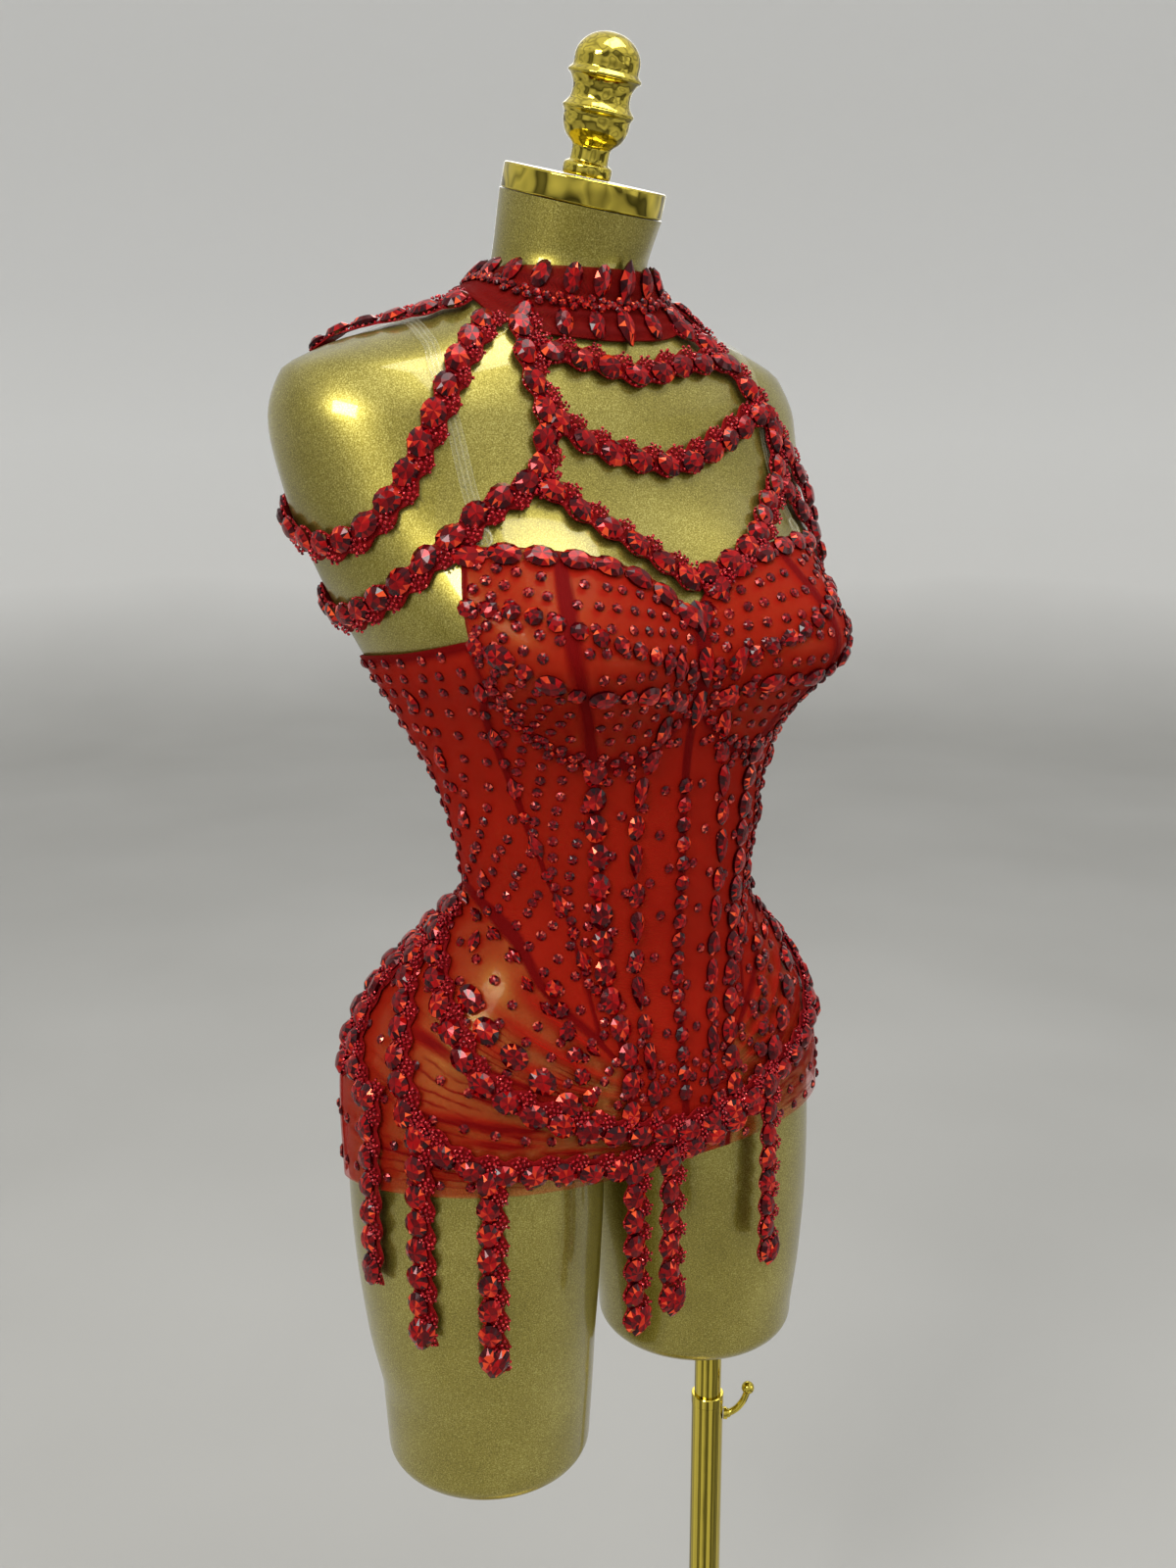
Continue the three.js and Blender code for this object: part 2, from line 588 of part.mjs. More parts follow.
// ---- Stone-covered straps: scalloped, one swelling for each large stone ----
const gem = { pitch: 24, wide: 21, narrow: 15, high: 7, low: 4.4 };
const stoneRed = 0x7a0410;
function gemStrap(points, base, scale = 1) {
  return solidOf(
    sweep(bodyPath(points, gem.pitch / 2), (i) => {
      const [w, h] = i % 2 ? [gem.wide * scale, gem.high] : [gem.narrow * scale, gem.low];
      return [[-w / 2, base], [w / 2, base], [w * 0.32, base + h], [-w * 0.32, base + h]];
    }),
  );
}

const armUpper = [
  [-56.5, 1413], [-57, 1378], [-59, 1348], [-63, 1318], [-67, 1298], [-74, 1279], [-84, 1272], [-95, 1280],
  [-108, 1298], [-119, 1325], [-122, 1355], [-114, 1382], [-100, 1400], [-84, 1412], [-72, 1425],
];
const armLower = [
  [-37, 1311], [-49, 1294], [-57, 1274], [-69, 1247], [-82, 1230], [-94, 1226], [-107, 1238], [-122, 1262],
  [-138, 1295], [-148, 1335], [-151, 1375], [-148, 1414],
];
const neckDrop = [[-45.5, 1413], [-38, 1378], [-33, 1348], [-37, 1309]];
const vStrap = [[-37, 1312], [-34, 1306], [-25, 1289], [-12, 1270], [-1, 1254], [6, 1244]];
const farStrap = [[47, 1415], [54, 1396], [56, 1370], [58, 1343], [54, 1306]];
const farUpper = [[57, 1352], [64, 1316], [69, 1295], [75, 1279], ...mirrored(armUpper.slice(6))];
const farLower = [[54, 1309], [60, 1282], [70, 1250], [82, 1230], ...mirrored(armLower.slice(5))];
const farV = [[54, 1308], [42, 1287], [29, 1268], [16, 1254], [5, 1245]];
const swagHigh = [[-38, 1393], [-25, 1389], [-8, 1384], [12, 1378], [32, 1385], [56, 1389]];
const swagLow = [[-33, 1356], [-22, 1337], [-4, 1325], [17, 1321], [37, 1335], [57, 1358]];

const strapBase = 3;
const collarRoom = collarSolid(0.3);
const cupRoom = joined(clothRooms);
const armStrap = gemStrap(armUpper, strapBase).subtract(collarRoom);
add("arm_strap", geometryOf(armStrap), stoneRed, 0.3, 0);
const harness = joined(
  [armLower, neckDrop, vStrap, farStrap, farUpper, farLower, farV, swagHigh, swagLow].map((line) =>
    gemStrap(line, strapBase),
  ),
).subtract(collarRoom).subtract(cupRoom);
add("harness", geometryOf(harness), stoneRed, 0.3, 0);

const hipBase = clothOuter + 0.9;
const hipBead = [[-96, 1018], [-99, 1000], [-101, 971], [-101, 942], [-96, 916], [-86, 892]];
const hipBeadBack = [[-102, 1016], [-105, 1000], [-106, 971], [-106, 942], [-103, 918], [-98, 898]];
const hipLoop = [[-99, 985], [-86, 955], [-81, 927], [-77, 905], [-75, 885]];
const hipSwag = [
  [-99, 1004], [-80, 972], [-69, 944], [-62, 920], [-50, 897], [-35, 881], [-20, 871], [0, 866], [22, 871],
  [40, 881], [60, 900], [72, 925], [80, 955], [88, 980], [99, 1004],
];
const hemSwag = [
  [-75, 888], [-66, 866], [-57, 858], [-43, 855], [-28, 850], [-8, 851], [10, 856], [28, 866], [40, 882],
];
const tassels = [
  { angle: -85, top: 906, end: 763 }, { angle: -73, top: 888, end: 728 }, { angle: -59, top: 860, end: 710 },
  { angle: -21, top: 853, end: 722 }, { angle: -7, top: 853, end: 728 }, { angle: 37, top: 884, end: 734 },
  { angle: 99, top: 903, end: 750 },
];
function tassel({ angle, top, end }) {
  const count = Math.round((top - end) / (gem.pitch / 2));
  const points = [];
  const normals = [];
  for (let i = 0; i <= count; i++) {
    const z = top + ((end - top) * i) / count;
    const held = Math.max(z, 846);
    const point = onBody(angle, held);
    normals.push(onBody(angle, held, 1).sub(point));
    points.push(point.setZ(z));
  }
  return solidOf(
    sweep(framed(points, normals), (i) => {
      const [w, h] = i % 2 ? [gem.wide, gem.high] : [gem.narrow, gem.low];
      return [[-w / 2, hipBase], [w / 2, hipBase], [w * 0.32, hipBase + h], [-w * 0.32, hipBase + h]];
    }),
  );
}
const bothSides = [hipBead, hipBeadBack, hipLoop].flatMap((line) => [line, mirrored(line)]);
const hipStraps = joined([
  ...[...bothSides, hipSwag, hemSwag].map((line) => gemStrap(line, hipBase)),
  ...tassels.map(tassel),
]);
add("hip_straps", geometryOf(hipStraps), stoneRed, 0.3, 0);

export default group;
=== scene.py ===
# Rhinestone bodysuit on a gold dress form. Tables are in millimetres, pieces in metres.
# Angles run round the body: 0 is the front, 90 the form's left side.
import json
import math
import bpy
import numpy as np
from mathutils import Matrix, Vector


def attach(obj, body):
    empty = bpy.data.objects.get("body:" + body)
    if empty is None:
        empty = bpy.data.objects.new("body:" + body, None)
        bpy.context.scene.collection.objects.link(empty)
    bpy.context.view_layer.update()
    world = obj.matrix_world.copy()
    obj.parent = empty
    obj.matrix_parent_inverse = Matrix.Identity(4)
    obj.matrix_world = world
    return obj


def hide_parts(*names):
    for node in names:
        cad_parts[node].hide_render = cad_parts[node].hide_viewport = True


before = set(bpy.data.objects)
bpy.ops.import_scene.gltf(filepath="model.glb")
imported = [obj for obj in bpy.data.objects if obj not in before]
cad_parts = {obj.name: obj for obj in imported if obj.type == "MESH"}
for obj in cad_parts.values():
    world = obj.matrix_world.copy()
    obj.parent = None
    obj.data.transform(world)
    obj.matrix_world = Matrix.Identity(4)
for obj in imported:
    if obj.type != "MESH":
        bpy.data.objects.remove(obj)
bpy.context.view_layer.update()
mm = 0.001


class Amount:
    # a socket with the sums that the finishes need
    def __init__(self, wiring, socket):
        self.wiring, self.socket = wiring, socket

    def maths(self, operation, other=None, flip=False, clamp=False):
        pair = [self] if other is None else [other, self] if flip else [self, other]
        settings = {"operation": operation, "use_clamp": clamp}
        return self.wiring.amount("ShaderNodeMath", settings, dict(enumerate(pair)))


# the plain signs of sums, with the amount before the sign and after it
for sign, operation in (("add", "ADD"), ("sub", "SUBTRACT"), ("mul", "MULTIPLY"), ("truediv", "DIVIDE")):
    setattr(Amount, f"__{sign}__", lambda self, other, o=operation: self.maths(o, other))
    setattr(Amount, f"__r{sign}__", lambda self, other, o=operation: self.maths(o, other, flip=True))


class Wiring:
    def __init__(self, tree):
        self.tree = tree
        tree.nodes.clear()

    def node(self, kind, settings=None, inputs=None):
        made = self.tree.nodes.new(kind)
        for key, value in (settings or {}).items():
            if key == "stops":
                ramp = made.color_ramp.elements
                while len(ramp) < len(value):
                    ramp.new(1)
                for stop, (at, colour) in zip(ramp, value):
                    stop.position, stop.color = at, (*colour, 1)
            else:
                setattr(made, key, value)
        for key, value in (inputs or {}).items():
            self.join(made.inputs[key], value)
        return made

    def join(self, socket, value):
        if isinstance(value, Amount):
            self.tree.links.new(value.socket, socket)
        elif isinstance(value, bpy.types.NodeSocket):
            self.tree.links.new(value, socket)
        elif isinstance(value, bpy.types.Node):
            self.tree.links.new(value.outputs[0], socket)
        else:
            socket.default_value = value

    def amount(self, kind, settings=None, inputs=None, output=0):
        return Amount(self, self.node(kind, settings, inputs).outputs[output])


class Finish(Wiring):
    # a material with one Principled shader
    def __init__(self, name, fixed, blended=False):
        self.material = bpy.data.materials.new(name)
        self.material.use_nodes = True
        super().__init__(self.material.node_tree)
        self.shader = self.node("ShaderNodeBsdfPrincipled", {}, fixed)
        self.node("ShaderNodeOutputMaterial", {}, {"Surface": self.shader.outputs[0]})
        self.places = self.node("ShaderNodeTexCoord").outputs["Object"]
        if blended:
            self.material.surface_render_method = "BLENDED"

    def noise(self, size, detail=2, where=None):
        inputs = {"Vector": where or self.places, "Scale": 1 / (size * mm), "Detail": detail}
        return self.amount("ShaderNodeTexNoise", {}, inputs)

    def stored(self, name):
        return self.amount("ShaderNodeAttribute", {"attribute_name": name}, output=2)

    def ramp(self, amount, stops):
        return self.node("ShaderNodeValToRGB", {"stops": stops}, {"Fac": amount}).outputs["Color"]

    def mixed(self, share, first, second):
        inputs = {"Factor": share, 6: first, 7: second}
        return self.node("ShaderNodeMix", {"data_type": "RGBA"}, inputs).outputs[2]

    def bumped(self, height, distance, strength=1):
        inputs = {"Height": height, "Distance": distance * mm, "Strength": strength}
        return self.node("ShaderNodeBump", {}, inputs)

    def feed(self, **values):
        for key, value in values.items():
            self.join(self.shader.inputs[key.replace("_", " ")], value)


def goldPaintFinish():
    look = {"flake": 0.9, "cloud": 70, "grit": 0.35}  # grain sizes in mm
    paint = Finish("goldPaint", {"Metallic": 0.86, "Coat Weight": 0.7, "Coat Roughness": 0.07})
    flakes = paint.noise(look["flake"], 1)
    cloud = paint.noise(look["cloud"], 2)
    colour = paint.ramp(
        flakes * 0.72 + cloud * 0.28,
        [(0.32, (0.19, 0.155, 0.018)), (0.52, (0.33, 0.275, 0.042)), (0.68, (0.56, 0.49, 0.13))],
    )
    paint.feed(
        Base_Color=colour,
        Roughness=0.27 + flakes * 0.18,
        Normal=paint.bumped(paint.noise(look["grit"], 1), 0.02, 0.5),
    )
    return paint.material


def goldChromeFinish(name, colour, dull):
    look = {"smear": 38, "room": 380, "ripple": 9}  # grain sizes in mm
    # places on the painted reflection's ramp and the share of the full colour there
    parts = ((0.22, 0.40), (0.36, 0.14), (0.44, 0.75), (0.56, 1.0), (0.68, 0.50), (0.80, 1.0))
    chrome = Finish(name, {"Metallic": 1.0})
    smears = chrome.noise(look["smear"], 3)
    # painted reflection: the base colour shows light and dark parts of the room as a mirror would, set by the
    # way each face looks
    facing = chrome.node("ShaderNodeNewGeometry").outputs["Normal"]
    upward = Amount(chrome, chrome.node("ShaderNodeSeparateXYZ", {}, {0: facing}).outputs[2])
    room = chrome.noise(look["room"], 1, where=facing)
    shade = chrome.ramp(
        upward * 0.22 + 0.5 + (room - 0.5) * 1.6 + (smears - 0.5) * 0.1,
        [(at, [c * share for c in colour]) for at, share in parts],
    )
    chrome.feed(
        Base_Color=shade,
        Roughness=dull + smears * 0.06,
        Normal=chrome.bumped(chrome.noise(look["ripple"], 2), 0.01, 0.25),
    )
    return chrome.material


def meshFinish(name, thread, shade, deepest):
    # sheer stretch mesh: cover is how much of what lies under it is hidden, band marks doubled cloth
    look = {
        "pitch": 1.15, "yarn": 0.35, "patch": 26,
        "creases": 30, "thin": 7, "wander": 1.3, "sway": 34, "jog": 11, "break": 30,
    }
    mesh = Finish(name, {"Specular IOR Level": 0.04}, blended=True)
    uv = mesh.node("ShaderNodeUVMap", {"uv_map": "cut"}).outputs[0]
    apart = mesh.node("ShaderNodeSeparateXYZ", {}, {0: uv})
    across, along = Amount(mesh, apart.outputs[0]), Amount(mesh, apart.outputs[1])
    turns = 2 * math.pi / (look["pitch"] * mm)
    ribs = (across * turns).maths("SINE") * 0.5 + 0.5
    courses = ((along + across * 0.5) * (turns * 0.8)).maths("SINE") * 0.5 + 0.5
    weave = ribs * 0.6 + courses * 0.4
    # fine creases where the cloth is pulled: down runs from 0 at a panel's head to 1 at its foot
    cover, band, down, pull = (mesh.stored(key) for key in ("cover", "band", "down", "pull"))
    wander = mesh.noise(look["sway"], 2) * look["wander"] + mesh.noise(look["jog"], 1) * 0.2
    line = ((down * look["creases"] + wander) * (2 * math.pi)).maths("SINE") * 0.5 + 0.5
    broken = (mesh.noise(look["break"], 2) * 5 - 1.9).maths("MULTIPLY", 1.0, clamp=True)
    crease = line.maths("POWER", look["thin"]) * pull * broken
    patches = mesh.noise(look["patch"], 3)
    colour = mesh.mixed(patches * 0.55 + weave * 0.25, (*shade, 1), (*thread, 1))
    thick = (cover - 0.62).maths("MULTIPLY", 0.9, clamp=True)
    doubled = (band + crease + thick).maths("MULTIPLY", 1.0, clamp=True)
    colour = mesh.mixed(doubled, colour, (*deepest, 1))
    closed = (band + crease).maths("MINIMUM", 1.0)
    hidden = (cover + closed * (1 - cover) + (weave - 0.5) * 0.12).maths("MINIMUM", 0.995)
    mesh.feed(
        Base_Color=colour,
        Roughness=0.52 + patches * 0.2,
        Alpha=1 - (1 - hidden).maths("POWER", 0.5),
        Normal=mesh.bumped(weave, look["yarn"] * 0.3, 0.35),
    )
    return mesh.material


def stoneFinish(name, dark, mid, bright, spark):
    # painted internal reflection: every cut face gets its own brightness of red, standing in for light thrown
    # back from inside a foiled stone
    stone = Finish(name, {"IOR": 1.5, "Specular IOR Level": 0.26, "Emission Strength": 1.0})
    face, tone, level = (stone.stored(key) for key in ("spark", "tone", "level"))
    # painted light: the flat top gets an even painted glow, the slopes round it painted flashes, and the foot
    # painted shade
    table, foot = level.maths("GREATER_THAN", 0.8), level.maths("LESS_THAN", 0.3)
    slope = face * (0.86 - foot * 0.54)
    light = slope * (1 - table) + (tone * 0.20 + face * 0.42 + 0.22) * table
    colour = stone.ramp(light, [(0.0, dark), (0.40, mid), (0.72, bright), (0.95, spark)])
    # a painted glow, emitted by the brighter painted faces though the stones are no lamps
    faint, strong = ([c * share for c in bright] for share in (0.10, 0.55))
    paintedGlow = stone.ramp(light, [(0.30, (0, 0, 0)), (0.60, faint), (0.84, strong), (0.92, spark)])
    stone.feed(Base_Color=colour, Emission_Color=paintedGlow, Metallic=face * 0.35, Roughness=0.06 + tone * 0.08)
    return stone.material


def clearFinish():
    look = {"haze": 5, "grain": 1.6}  # grain sizes in mm
    fixed = {"Roughness": 0.16, "IOR": 1.45, "Coat Weight": 0.5, "Coat Roughness": 0.05}
    clear = Finish("clearElastic", fixed, blended=True)
    haze = clear.noise(look["haze"], 2)
    clear.feed(
        Base_Color=clear.mixed(haze, (0.50, 0.47, 0.28, 1), (0.72, 0.70, 0.52, 1)),
        Alpha=0.04 + haze * 0.04 + clear.stored("rib") * 0.22,
        Normal=clear.bumped(clear.noise(look["grain"], 1), 0.03, 0.3),
    )
    return clear.material


goldPaint = goldPaintFinish()
goldChrome = goldChromeFinish("goldChrome", (0.85, 0.68, 0.10), 0.05)
goldSteel = goldChromeFinish("goldSteel", (0.74, 0.60, 0.18), 0.14)
redMesh = meshFinish("redMesh", (0.60, 0.022, 0.007), (0.42, 0.010, 0.004), (0.17, 0.002, 0.002))
collarMesh = meshFinish("collarMesh", (0.27, 0.006, 0.004), (0.18, 0.004, 0.003), (0.10, 0.002, 0.002))
tapeMesh = meshFinish("tapeMesh", (0.38, 0.010, 0.010), (0.26, 0.006, 0.008), (0.18, 0.003, 0.006))
# each stone's red in painted shade, middle, painted light and painted glint
stoneReds = {
    "redStone": ((0.014, 0, 0.002), (0.075, 0, 0.002), (0.34, 0.002, 0.003), (1, 0.16, 0.04)),
    "smallStone": ((0.020, 0, 0.002), (0.08, 0.001, 0.004), (0.26, 0.003, 0.006), (0.95, 0.22, 0.13)),
    "glitterStone": ((0.030, 0, 0.003), (0.20, 0.003, 0.009), (0.56, 0.014, 0.024), (1, 0.22, 0.17)),
}
redStone, smallStone, glitterStone = (stoneFinish(name, *reds) for name, reds in stoneReds.items())
clearElastic = clearFinish()
print("finishes ready")

# z, half width, front depth, back depth, centre x, centre y, squareness
bodySections = np.array([
    [1493, 55, 55, 55, -6, 17, 2], [1455, 54, 54, 54, -10, 26, 2], [1440, 64, 57, 58, -12, 31, 2],
    [1425, 92, 61, 64, -15, 36, 2], [1411, 122, 67, 71, -17, 39, 2.05], [1398, 163, 75, 77, -17, 41, 2.15],
    [1380, 195, 85, 83, -18, 42, 2.3], [1350, 204, 97, 88, -18, 41, 2.4], [1305, 199, 107, 92, -16, 35, 2.4],
    [1255, 189, 116, 93, -11, 24, 2.3], [1205, 172, 118, 91, -6, 13, 2.2], [1150, 146, 106, 87, -3, 4, 2.1],
    [1100, 125, 94, 82, 0, -2, 2], [1060, 115, 88, 79, 0, -7, 2], [1028, 109, 88, 80, 0, -6, 2],
    [995, 126, 96, 100, 0, 5, 2], [957, 158, 106, 128, 0, 14, 2.05], [920, 181, 112, 149, 0, 14, 2.1],
    [890, 191, 114, 154, 0, 12, 2.15], [860, 193, 114, 151, 0, 10, 2.2], [825, 192, 112, 142, 0, 10, 2.3],
    [775, 190, 108, 132, 0, 10, 2.4],
])
bust = {"angle": 35, "z": 1203, "spread": 27, "above": 62, "below": 47, "out": 48}


def smoothColumn(rows, column, at):
    rows = rows[np.argsort(rows[:, 0])]
    x, v = rows[:, 0], rows[:, column]
    at = np.clip(at, x[0], x[-1])
    slope = np.diff(v) / np.diff(x)
    tangent = np.r_[slope[0], np.zeros(len(x) - 2), slope[-1]]
    a, b = slope[:-1], slope[1:]
    tangent[1:-1] = np.where(a * b <= 0, 0, 2 * a * b / np.where(a + b == 0, 1, a + b))
    i = np.clip(np.searchsorted(x, at) - 1, 0, len(x) - 2)
    step = x[i + 1] - x[i]
    t = (at - x[i]) / step
    return (
        (2 * t**3 - 3 * t**2 + 1) * v[i] + (t**3 - 2 * t**2 + t) * step * tangent[i]
        + (3 * t**2 - 2 * t**3) * v[i + 1] + (t**3 - t**2) * step * tangent[i + 1]
    )


def skinPoint(angle, z):
    angle, z = np.broadcast_arrays(np.asarray(angle, float), np.asarray(z, float))
    half, front, back, x, y, power = (smoothColumn(bodySections, c, z) for c in range(1, 7))
    s, c = np.sin(np.radians(angle)), np.cos(np.radians(angle))
    depth = np.where(c > 0, front, back)
    radius = ((np.abs(s) / half) ** power + (np.abs(c) / depth) ** power) ** (-1 / power)
    rise = z - bust["z"]
    high = rise / np.where(rise > 0, bust["above"], bust["below"])
    facing = (angle + 180) % 360 - 180
    for side in (1, -1):
        across = (facing - side * bust["angle"]) / bust["spread"]
        radius = radius + bust["out"] * np.exp(-across * across - high * high)
    return np.stack([x + radius * s, y - radius * c, z], -1)


def unit(v):
    return v / np.maximum(np.linalg.norm(v, axis=-1, keepdims=True), 1e-9)


def skinNormal(angle, z):
    along = skinPoint(np.asarray(angle) + 1, z) - skinPoint(np.asarray(angle) - 1, z)
    above = skinPoint(angle, np.asarray(z) + 3) - skinPoint(angle, np.asarray(z) - 3)
    return unit(np.cross(along, above))


def onBody(angle, z, out=0):
    return skinPoint(angle, z) + skinNormal(angle, z) * np.asarray(out)[..., None]


def runOf(points):
    # the length run at each point of a line
    return np.r_[0, np.cumsum(np.linalg.norm(np.diff(points, axis=0), axis=1))]


def sampled(want, run, values):
    return np.stack([np.interp(want, run, values[:, c]) for c in range(values.shape[1])], -1)


def smoothed(way, steps):
    # a smooth curve through the points of a way, with so many steps from each to the next
    p = np.asarray(way, float)
    p = np.vstack([p[:1], p, p[-1:]])
    t = np.linspace(0, 1, steps, endpoint=False)[:, None]
    fine = [
        0.5 * (2 * b + (c - a) * t + (2 * a - 5 * b + 4 * c - d) * t**2 + (3 * b - a - 3 * c + d) * t**3)
        for a, b, c, d in zip(p, p[1:], p[2:], p[3:])
    ]
    return np.vstack([*fine, p[-1:]])


def traced(way):
    # a smooth curve through [angle, z] points: fine points and the length run at each
    fine = smoothed(way, 16)
    return fine, runOf(skinPoint(fine[:, 0], fine[:, 1]))


def stations(points, normals):
    # where a strip runs: point, the way along it, across it and out of it
    along = unit(np.gradient(points, axis=0))
    across = unit(np.cross(normals, along))
    return points, along, across, unit(np.cross(along, across))


def bodyStations(way, step):
    fine, run = traced(way)
    count = max(2, round(run[-1] / step))
    spots = sampled(np.linspace(0, run[-1], count + 1), run, fine)
    return stations(skinPoint(spots[:, 0], spots[:, 1]), skinNormal(spots[:, 0], spots[:, 1]))


def mirrored(way):
    return [(-angle, z) for angle, z in way]


def makePiece(name, points, faces, material, body="figure", sharp=None):
    mesh = bpy.data.meshes.new(name)
    mesh.from_pydata((np.asarray(points, float).reshape(-1, 3) * mm).tolist(), [], faces)
    mesh.materials.append(material)
    mesh.shade_smooth()
    if sharp is not None:
        mesh.set_sharp_from_angle(angle=math.radians(sharp))
    piece = bpy.data.objects.new(name, mesh)
    bpy.context.collection.objects.link(piece)
    if body:
        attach(piece, body)
    return piece


def storeValue(piece, key, values):
    piece.data.attributes.new(key, "FLOAT", "POINT").data.foreach_set("value", np.asarray(values, float))


def ringFaces(count, sides, start=0, capped=True):
    i, j = np.meshgrid(np.arange(count - 1), np.arange(sides), indexing="ij")
    k = (j + 1) % sides
    corners = (i * sides + j, i * sides + k, (i + 1) * sides + k, (i + 1) * sides + j)
    faces = (np.stack(corners, -1) + start).reshape(-1, 4).tolist()
    if capped:
        faces.append([start + s for s in reversed(range(sides))])
        faces.append([start + (count - 1) * sides + s for s in range(sides)])
    return faces


def wallFaces(rows, columns, closed=False):
    # both faces of a wall and its edges, over a grid of outer points and then inner ones
    cells = columns if closed else columns - 1
    at = lambda side, i, j: (side * rows + i) * columns + j % columns
    i, j = (a.ravel() for a in np.meshgrid(np.arange(rows - 1), np.arange(cells), indexing="ij"))
    blocks = [
        (at(0, i, j), at(0, i, j + 1), at(0, i + 1, j + 1), at(0, i + 1, j)),
        (at(1, i, j), at(1, i + 1, j), at(1, i + 1, j + 1), at(1, i, j + 1)),
    ]
    j, last = np.arange(cells), rows - 1
    blocks += [
        (at(0, 0, j), at(1, 0, j), at(1, 0, j + 1), at(0, 0, j + 1)),
        (at(0, last, j), at(0, last, j + 1), at(1, last, j + 1), at(1, last, j)),
    ]
    if not closed:
        i, last = np.arange(rows - 1), columns - 1
        blocks += [
            (at(0, i, 0), at(0, i + 1, 0), at(1, i + 1, 0), at(1, i, 0)),
            (at(0, i, last), at(1, i, last), at(1, i + 1, last), at(0, i + 1, last)),
        ]
    return [face for block in blocks for face in np.stack(block, -1).tolist()]


def fullTurn(count):
    return np.linspace(0, 2 * math.pi, count, endpoint=False)


def levelRing(x, y, rx, ry, z, sides):
    turn = fullTurn(sides)
    return np.stack([x + rx * np.sin(turn), y - ry * np.cos(turn), np.full(sides, float(z))], -1)


def turnedPiece(name, profile, material, body, centre=(0, 0), sides=72, place=None, sharp=32):
    points = np.concatenate([levelRing(*centre, r, r, z, sides) for r, z in profile])
    if place is not None:
        points = points @ np.array(place.to_3x3()).T + np.array(place.translation)
    return makePiece(name, points, ringFaces(len(profile), sides), material, body, sharp)


def roundedCorner(r, z, size, start, end, steps=6):
    # an arc of a turned profile round (r, z), angles in degrees from the outward way
    turn = np.radians(np.linspace(start, end, steps))
    return [*zip(r + size * np.cos(turn), z + size * np.sin(turn))]


def roundedRim(radius, low, high, edge):
    inner = radius - edge
    return roundedCorner(inner, low + edge, edge, -90, 0) + roundedCorner(inner, high - edge, edge, 0, 90)


def levelWay(degrees):
    return np.array([math.sin(math.radians(degrees)), -math.cos(math.radians(degrees)), 0])


neck = {"z": 1493, "from": 1455, "x": -6, "y": 17, "tilt": 15, "towards": 16}
neckWay = levelWay(neck["towards"])
torsoGrid = {"crotch": 862, "step": 5.0, "turn": 2.0}
thighs = {"lean": -3, "right": 590, "left": 632, "round": 13, "taper": 0.06, "step": 6.0, "sides": 96}
# z, centre x, centre y, half width, half depth
thighSections = np.array([
    [880, 95, 14, 78, 88], [850, 99, 15, 90, 99], [800, 99, 13, 92, 97],
    [750, 100, 9, 90, 91], [700, 100, 6, 85, 86], [655, 98, 2, 79, 79],
])
pole = {
    "x": 100, "y": -12, "inner": 11, "outer": 13, "bore": 11.1, "top": 564, "lowest": 300,
    "socket": 740, "sides": 64,
}


def torsoShell():
    levels = np.r_[np.arange(torsoGrid["crotch"], neck["z"] - 3, torsoGrid["step"]), neck["z"]]
    angles = np.arange(0, 360, torsoGrid["turn"])
    points = skinPoint(angles[None, :], levels[:, None])
    lean = np.clip((levels - neck["from"]) / (neck["z"] - neck["from"]), 0, 1)[:, None]
    ahead = (points[..., 0] - neck["x"]) * neckWay[0] + (points[..., 1] - neck["y"]) * neckWay[1]
    points[..., 2] -= ahead * math.tan(math.radians(neck["tilt"])) * lean
    return points.reshape(-1, 3), ringFaces(len(levels), len(angles))


def thighShell(side, end):
    size, foot = thighs["round"], thighSections[-1, 0]
    corner = np.linspace(0, math.pi / 2, 8)
    levels = [(end + (1 - math.cos(a)) * size, (1 - math.sin(a)) * size) for a in corner]
    levels += [(z, 0) for z in np.arange(end + size + 5, thighSections[0, 0] + 1, thighs["step"])]
    rings = []
    for z, inset in levels:
        x, y, rx, ry = (float(smoothColumn(thighSections, c, np.array(z))) for c in range(1, 5))
        less = max(0, foot - z) * thighs["taper"] + inset
        rings.append(levelRing(thighs["lean"] + side * x, y, rx - less, ry - less, z, thighs["sides"]))
    return np.concatenate(rings), ringFaces(len(rings), thighs["sides"])


def boreShell():
    sides = 48
    ends = (thighs["left"] - 5, pole["socket"] + 1)
    rings = [levelRing(pole["x"], pole["y"], pole["bore"], pole["bore"], z, sides) for z in ends]
    return np.concatenate(rings), ringFaces(2, sides)


def buildForm():
    torso = makePiece("torsoShell", *torsoShell(), goldPaint, body=None)
    others = [(makePiece("thighShell", *thighShell(-1, thighs["right"]), goldPaint, body=None), "UNION"),
              (makePiece("thighShell", *thighShell(1, thighs["left"]), goldPaint, body=None), "UNION"),
              (makePiece("boreShell", *boreShell(), goldPaint, body=None), "DIFFERENCE")]
    for other, operation in others:
        cut = torso.modifiers.new("join", "BOOLEAN")
        cut.operation, cut.object, cut.solver = operation, other, "EXACT"
    made = bpy.data.meshes.new_from_object(torso.evaluated_get(bpy.context.evaluated_depsgraph_get()))
    torso.modifiers.clear()
    torso.data = made
    made.shade_smooth()
    made.set_sharp_from_angle(angle=math.radians(42))
    for other, _ in others:
        bpy.data.objects.remove(other)
    torso.name = "formShell"
    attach(torso, "figure")
    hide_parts("form_body")


buildForm()
neckPlace = Matrix.Rotation(math.radians(neck["tilt"]), 4, Vector((0, 0, 1)).cross(Vector(neckWay)))
neckPlace.translation = Vector((neck["x"], neck["y"], neck["z"]))
capShape = {"radius": 55.5, "low": 0.2, "height": 17, "edge": 1.6}
capProfile = [
    (50, capShape["low"]),
    *roundedRim(capShape["radius"], capShape["low"], capShape["height"], capShape["edge"]),
    (40, capShape["height"]), (3, capShape["height"]),
]
cap = turnedPiece("neckCap", capProfile, goldChrome, "figure", sides=96, place=neckPlace)
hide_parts("neck_cap")
